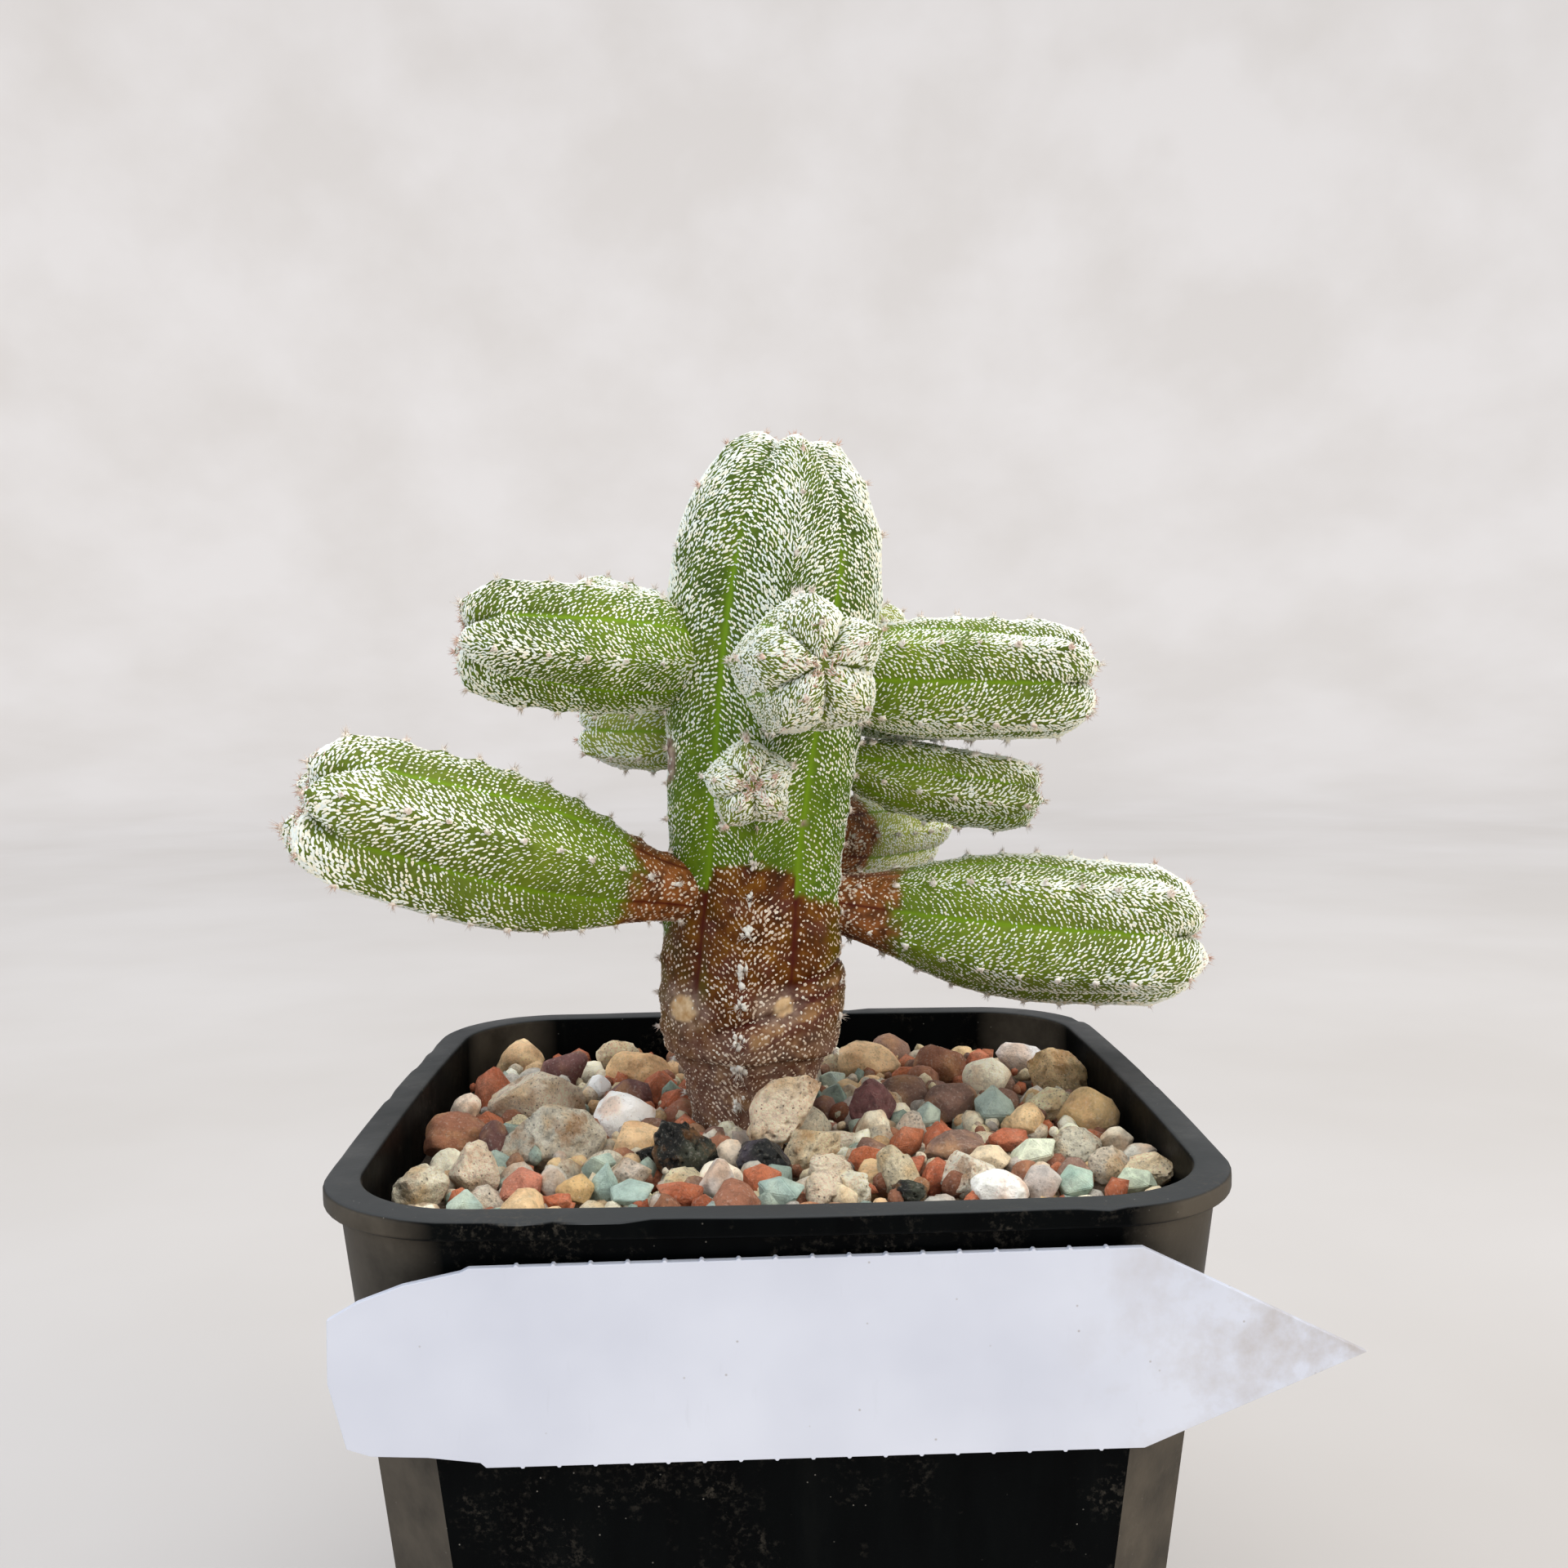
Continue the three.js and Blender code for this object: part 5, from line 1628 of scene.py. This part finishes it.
def make_pot():
    """The thin square pot, with a worn rounded lip, a collar, chamfers and drain holes."""
    rings = pot_rings()
    count = len(rings[0])
    sides = wear_lip(np.vstack(rings))
    points = np.vstack([sides, [(0, 0, 0), (0, 0, FLOOR_THICK)]])
    bottom = fan(len(sides), 0, count)
    floor = fan(len(sides) + 1, len(sides) - count, count, True)
    faces = np.vstack([split_quads(grid_faces(len(rings), count)), bottom, floor])
    pot = make_mesh("pot_shell", points, faces)
    drill_drains(pot)
    dress(pot, pot_material(), "pot_plastic", "pot")


def wear_lip(points):
    """Small dents and a wavy wear line along the lip."""
    near_lip = smooth(-1.4, -0.2, over_lip(points))
    wave = LIP_WAVE * noise(points * np.array([1, 1, 0.2]), 5, 61, 2)
    front = smooth(-30, -34, points[:, 1])
    worn = np.minimum(noise(points * np.array([1, 1, 0.1]), 7, 67, 2), 0) * LIP_WEAR * front
    nicks = -LIP_NICK * smooth(0.55, 0.8, noise(points, 1.3, 71, 1))
    outer = np.maximum(np.abs(points[:, 0]), np.abs(points[:, 1])) > LIP_HALF - 1.2
    points = points.copy()
    points[:, 2] += np.where(outer, near_lip * (np.minimum(wave, 0) + worn + nicks), 0)
    return points


def drill_drains(pot):
    """Cuts the four drain holes through the pot's floor."""
    drill = bpy.data.meshes.new("drill")
    shape = bmesh.new()
    for x in (-DRAIN_OFFSET, DRAIN_OFFSET):
        for y in (-DRAIN_OFFSET, DRAIN_OFFSET):
            place = Matrix.Translation((x * MM, y * MM, 0.5 * FLOOR_THICK * MM))
            bmesh.ops.create_cone(shape, cap_ends=True, segments=DRAIN_SIDES, radius1=DRAIN_RADIUS * MM,
                                  radius2=DRAIN_RADIUS * MM, depth=3 * FLOOR_THICK * MM, matrix=place)
    shape.to_mesh(drill)
    shape.free()
    cutter = add_object("drill", drill)
    cut = pot.modifiers.new("drains", "BOOLEAN")
    cut.object = cutter
    cut.operation = "DIFFERENCE"
    cut.solver = "EXACT"
    graph = bpy.context.evaluated_depsgraph_get()
    finished = bpy.data.meshes.new_from_object(pot.evaluated_get(graph))
    pot.modifiers.clear()
    pot.data = finished
    bpy.data.objects.remove(cutter)
    pot.data.shade_smooth()
    pot.data.set_sharp_from_angle(angle=math.radians(POT_SHARP))


def pot_material():
    """Black moulded plastic with a thin film and specks; dust and a painted highlight on top, and dust
    and painted side light down the chamfers.
    """
    shader = Shader("pot_plastic")
    facing = shader.node("NewGeometry").outputs["Normal"]
    split = shader.node("SeparateXYZ", {"Vector": facing})
    upward = shader.ramp(split.outputs["Z"], (0.55, 0.0), (0.85, 1.0))
    across = [shader.math("ABSOLUTE", split.outputs[axis]) for axis in "XY"]
    # Chamfers turned to the sides are greyed in patches: partly dust, partly painted light from the
    # sides.
    corner = shader.ramp(shader.times(*across), (0.12, 0.0), (0.42, 1.0))
    clouds = shader.noise(7, 5, 0.62)
    streaks = (3.2, 4, 0.6, (1, 1, 0.22))
    base = shader.clouds(streaks, (0.35, (1, 2, 3)), (0.6, (3, 5, 6)), (0.8, (9, 11, 11)))
    chamfer_light_and_dust = shader.times(corner, shader.ramp(clouds, (0.3, 0.35), (0.6, 0.9)))
    colour = shader.mix(chamfer_light_and_dust, base, (82, 76, 68))
    # Faces turned upwards are greyed: partly dust, partly a painted highlight.
    colour = shader.mix(shader.times(upward, 0.85), colour, (66, 68, 70))
    film = shader.clouds((9, 6, 0.7), (0.52, 0.0), (0.72, 0.45))
    film = shader.times(film, shader.clouds((0.5, 3, 0.7), (0.5, 0.0), (0.66, 1.0)))
    colour = shader.mix(film, colour, (92, 86, 78))
    specks = shader.ramp(shader.cells(1.1), (0.03, 0.35), (0.07, 0.0))
    specks = shader.times(specks, shader.clouds((4, 2), (0.45, 0.0), (0.62, 1.0)))
    colour = shader.mix(specks, colour, (176, 172, 164))
    roughness = shader.ramp(clouds, (0.3, 0.34), (0.7, 0.6))
    bumps = shader.bump(shader.noise(0.35, 4, 0.6), 0.02, 0.5)
    return shader.finish(0.035, Base_Color=colour, Roughness=roughness, Normal=bumps)


def make_label():
    """The bare white strip on the front wall, with the snapped-off nubs along its two long edges."""
    ends = [np.array(point) for point in LABEL_OUTLINE[:5]]
    outline = nubby_edge(ends[0], ends[1]) + [LABEL_OUTLINE[2]]
    outline += nubby_edge(ends[3], ends[4]) + LABEL_OUTLINE[5:]
    shape = bmesh.new()
    lean = math.atan(WALL_TAPER)
    face_y = -(collar_half(POT_HEIGHT) + SIDE_BULGE + GAP)
    corners = []
    for x, y in outline:
        place = (x * MM, (face_y - y * math.sin(lean)) * MM, (POT_HEIGHT + y * math.cos(lean)) * MM)
        corners.append(shape.verts.new(place))
    face = shape.faces.new(corners)
    pushed = bmesh.ops.extrude_face_region(shape, geom=[face])
    outward = (0, -LABEL_THICK * math.cos(lean) * MM, -LABEL_THICK * math.sin(lean) * MM)
    moved = [g for g in pushed["geom"] if isinstance(g, bmesh.types.BMVert)]
    bmesh.ops.translate(shape, verts=moved, vec=outward)
    bmesh.ops.recalc_face_normals(shape, faces=shape.faces)
    mesh = bpy.data.meshes.new("label_strip")
    shape.to_mesh(mesh)
    shape.free()
    label = add_object("label_strip", mesh)
    bevel = label.modifiers.new("soft_edges", "BEVEL")
    bevel.width = LABEL_BEVEL * MM
    bevel.segments = 2
    bevel.limit_method = "ANGLE"
    dress(label, label_material(), "label_plastic", "plant_label")


def nubby_edge(start, end):
    """Points along a straight edge with small stumps at an even pitch."""
    along = end - start
    length = float(np.linalg.norm(along))
    along = along / length
    out = np.array([along[1], -along[0]])
    points = [tuple(start)]
    for i in range(1, int(length / NUB_PITCH)):
        middle = start + along * (i * NUB_PITCH)
        for step, rise in ((-NUB_SIZE, 0), (-0.6 * NUB_SIZE, 0.8), (0.6 * NUB_SIZE, 0.8), (NUB_SIZE, 0)):
            points.append(tuple(middle + along * step + out * (rise * NUB_SIZE)))
    return points + [tuple(end)]


def label_material():
    """Bare white plastic with faint streaks, and soil smudges towards the pointed end."""
    shader = Shader("label_plastic")
    where = shader.node("SeparateXYZ", {"Vector": shader.place()}).outputs["X"]
    end = shader.ramp(shader.times(where, 1 / 45), (0.42, 0.0), (0.9, 1.0))
    clouds = shader.clouds((4.5, 5, 0.65), (0.42, 0.0), (0.75, 1.0))
    smudge = shader.times(shader.times(end, clouds), 0.85)
    white = shader.clouds((12, 3), (0.3, (188, 193, 209)), (0.7, (199, 204, 219)))
    colour = shader.mix(smudge, white, (152, 138, 124))
    streaks = shader.clouds((0.8, 3, 0.6, (1, 1, 0.12)), (0.66, 0.0), (0.8, 0.16))
    colour = shader.mix(streaks, colour, (168, 172, 184))
    specks = shader.ramp(shader.cells(2.4), (0.02, 0.5), (0.05, 0.0))
    colour = shader.mix(specks, colour, (120, 106, 94))
    return shader.finish(0.3, Base_Color=colour, Roughness=0.45)


def backdrop_material():
    """Pale and faintly blotched, a little darker under the pot and glowing slightly further out."""
    shader = Shader("backdrop")
    colour = shader.clouds((160, 4, 0.5), (0.35, (222, 217, 214)), (0.65, (233, 229, 228)))
    reach = shader.node("VectorMath", {"Vector": shader.place((1, 1, 0))}, operation="LENGTH")
    share = shader.times(reach.outputs["Value"], 1 / STAGE_BEND / 3)
    colour = shader.mix(share, shader.mix(0.5, colour, (150, 148, 147)), colour)
    glow = shader.ramp(share, (0.1, 0.0), (0.6, 0.16))
    return shader.finish(0.0, Base_Color=colour, Roughness=0.9, Emission_Color=linear(255, 250, 247),
                         Emission_Strength=glow)


def make_stage():
    """A pale floor that turns up into a far round backdrop."""
    profile = [(STAGE_MIDDLE, 0.0), (STAGE_FLOOR, 0.0)]
    for i in range(1, STAGE_STEPS + 1):
        angle = math.radians(90 * i / STAGE_STEPS)
        profile.append((STAGE_FLOOR + STAGE_BEND * math.sin(angle), STAGE_BEND * (1 - math.cos(angle))))
    profile.append((STAGE_FLOOR + STAGE_BEND, STAGE_TOP))
    turns = np.arange(STAGE_SIDES) * 2 * np.pi / STAGE_SIDES
    circle = np.stack([np.cos(turns), np.sin(turns), np.zeros(STAGE_SIDES)], axis=1)
    rings = [circle * radius + np.array([0, 0, z]) for radius, z in profile]
    points = np.vstack([*rings, [(0, 0, 0)]]) - np.array([0, 0, STAGE_DROP])
    faces = [split_quads(grid_faces(len(rings), STAGE_SIDES)), fan(len(points) - 1, 0, STAGE_SIDES)]
    backdrop = make_mesh("backdrop", points, np.vstack(faces))
    backdrop.visible_diffuse = False
    backdrop.visible_shadow = False
    backdrop.data.materials.append(backdrop_material())


def add_light(name, place, size, power, colour):
    """A round area light aimed at the plant, which the camera doesn't see."""
    data = bpy.data.lights.new(name, "AREA")
    data.shape = "DISK"
    data.size = size
    data.energy = power
    data.color = colour
    light = add_object(name, data)
    light.location = place
    light.rotation_mode = "QUATERNION"
    light.rotation_quaternion = (Vector(LIGHT_TARGET) - Vector(place)).to_track_quat("-Z", "Y")
    light.visible_camera = False


def make_lights():
    """Soft daylight: an even sky, a broad light overhead, cooler from the left, warmer from the right."""
    scene = bpy.context.scene
    world = bpy.data.worlds.new("sky")
    world.use_nodes = True
    sky = world.node_tree.nodes["Background"]
    sky.inputs["Color"].default_value = SKY_COLOUR
    sky.inputs["Strength"].default_value = SKY_STRENGTH
    scene.world = world
    for name, values in LIGHTS.items():
        add_light(name, *values)
    scene.view_settings.view_transform = "Standard"
    scene.view_settings.look = "None"


def make_camera():
    """The photograph's camera, solved from the corners of the pot's lip."""
    cy, sy = math.cos(CAMERA_YAW), math.sin(CAMERA_YAW)
    cp, sp = math.cos(CAMERA_PITCH), math.sin(CAMERA_PITCH)
    forward = np.array([sy * cp, cy * cp, sp])
    right = np.array([cy, -sy, 0.0])
    up = np.cross(right, forward)
    c, s = math.cos(CAMERA_ROLL), math.sin(CAMERA_ROLL)
    right, up = c * right + s * up, -s * right + c * up
    data = bpy.data.cameras.new("camera")
    data.sensor_width = SENSOR_WIDTH
    data.lens = CAMERA_LENS
    data.clip_start = 0.005
    data.clip_end = 20
    matrix = Matrix.Identity(4)
    for row in range(3):
        matrix[row] = (right[row], up[row], -forward[row], CAMERA_PLACE[row] * MM)
    camera = add_object("camera", data)
    camera.matrix_world = matrix
    bpy.context.scene.camera = camera


make_camera()
make_lights()
make_stage()
make_plant()
make_gravel()
make_pot()
make_label()
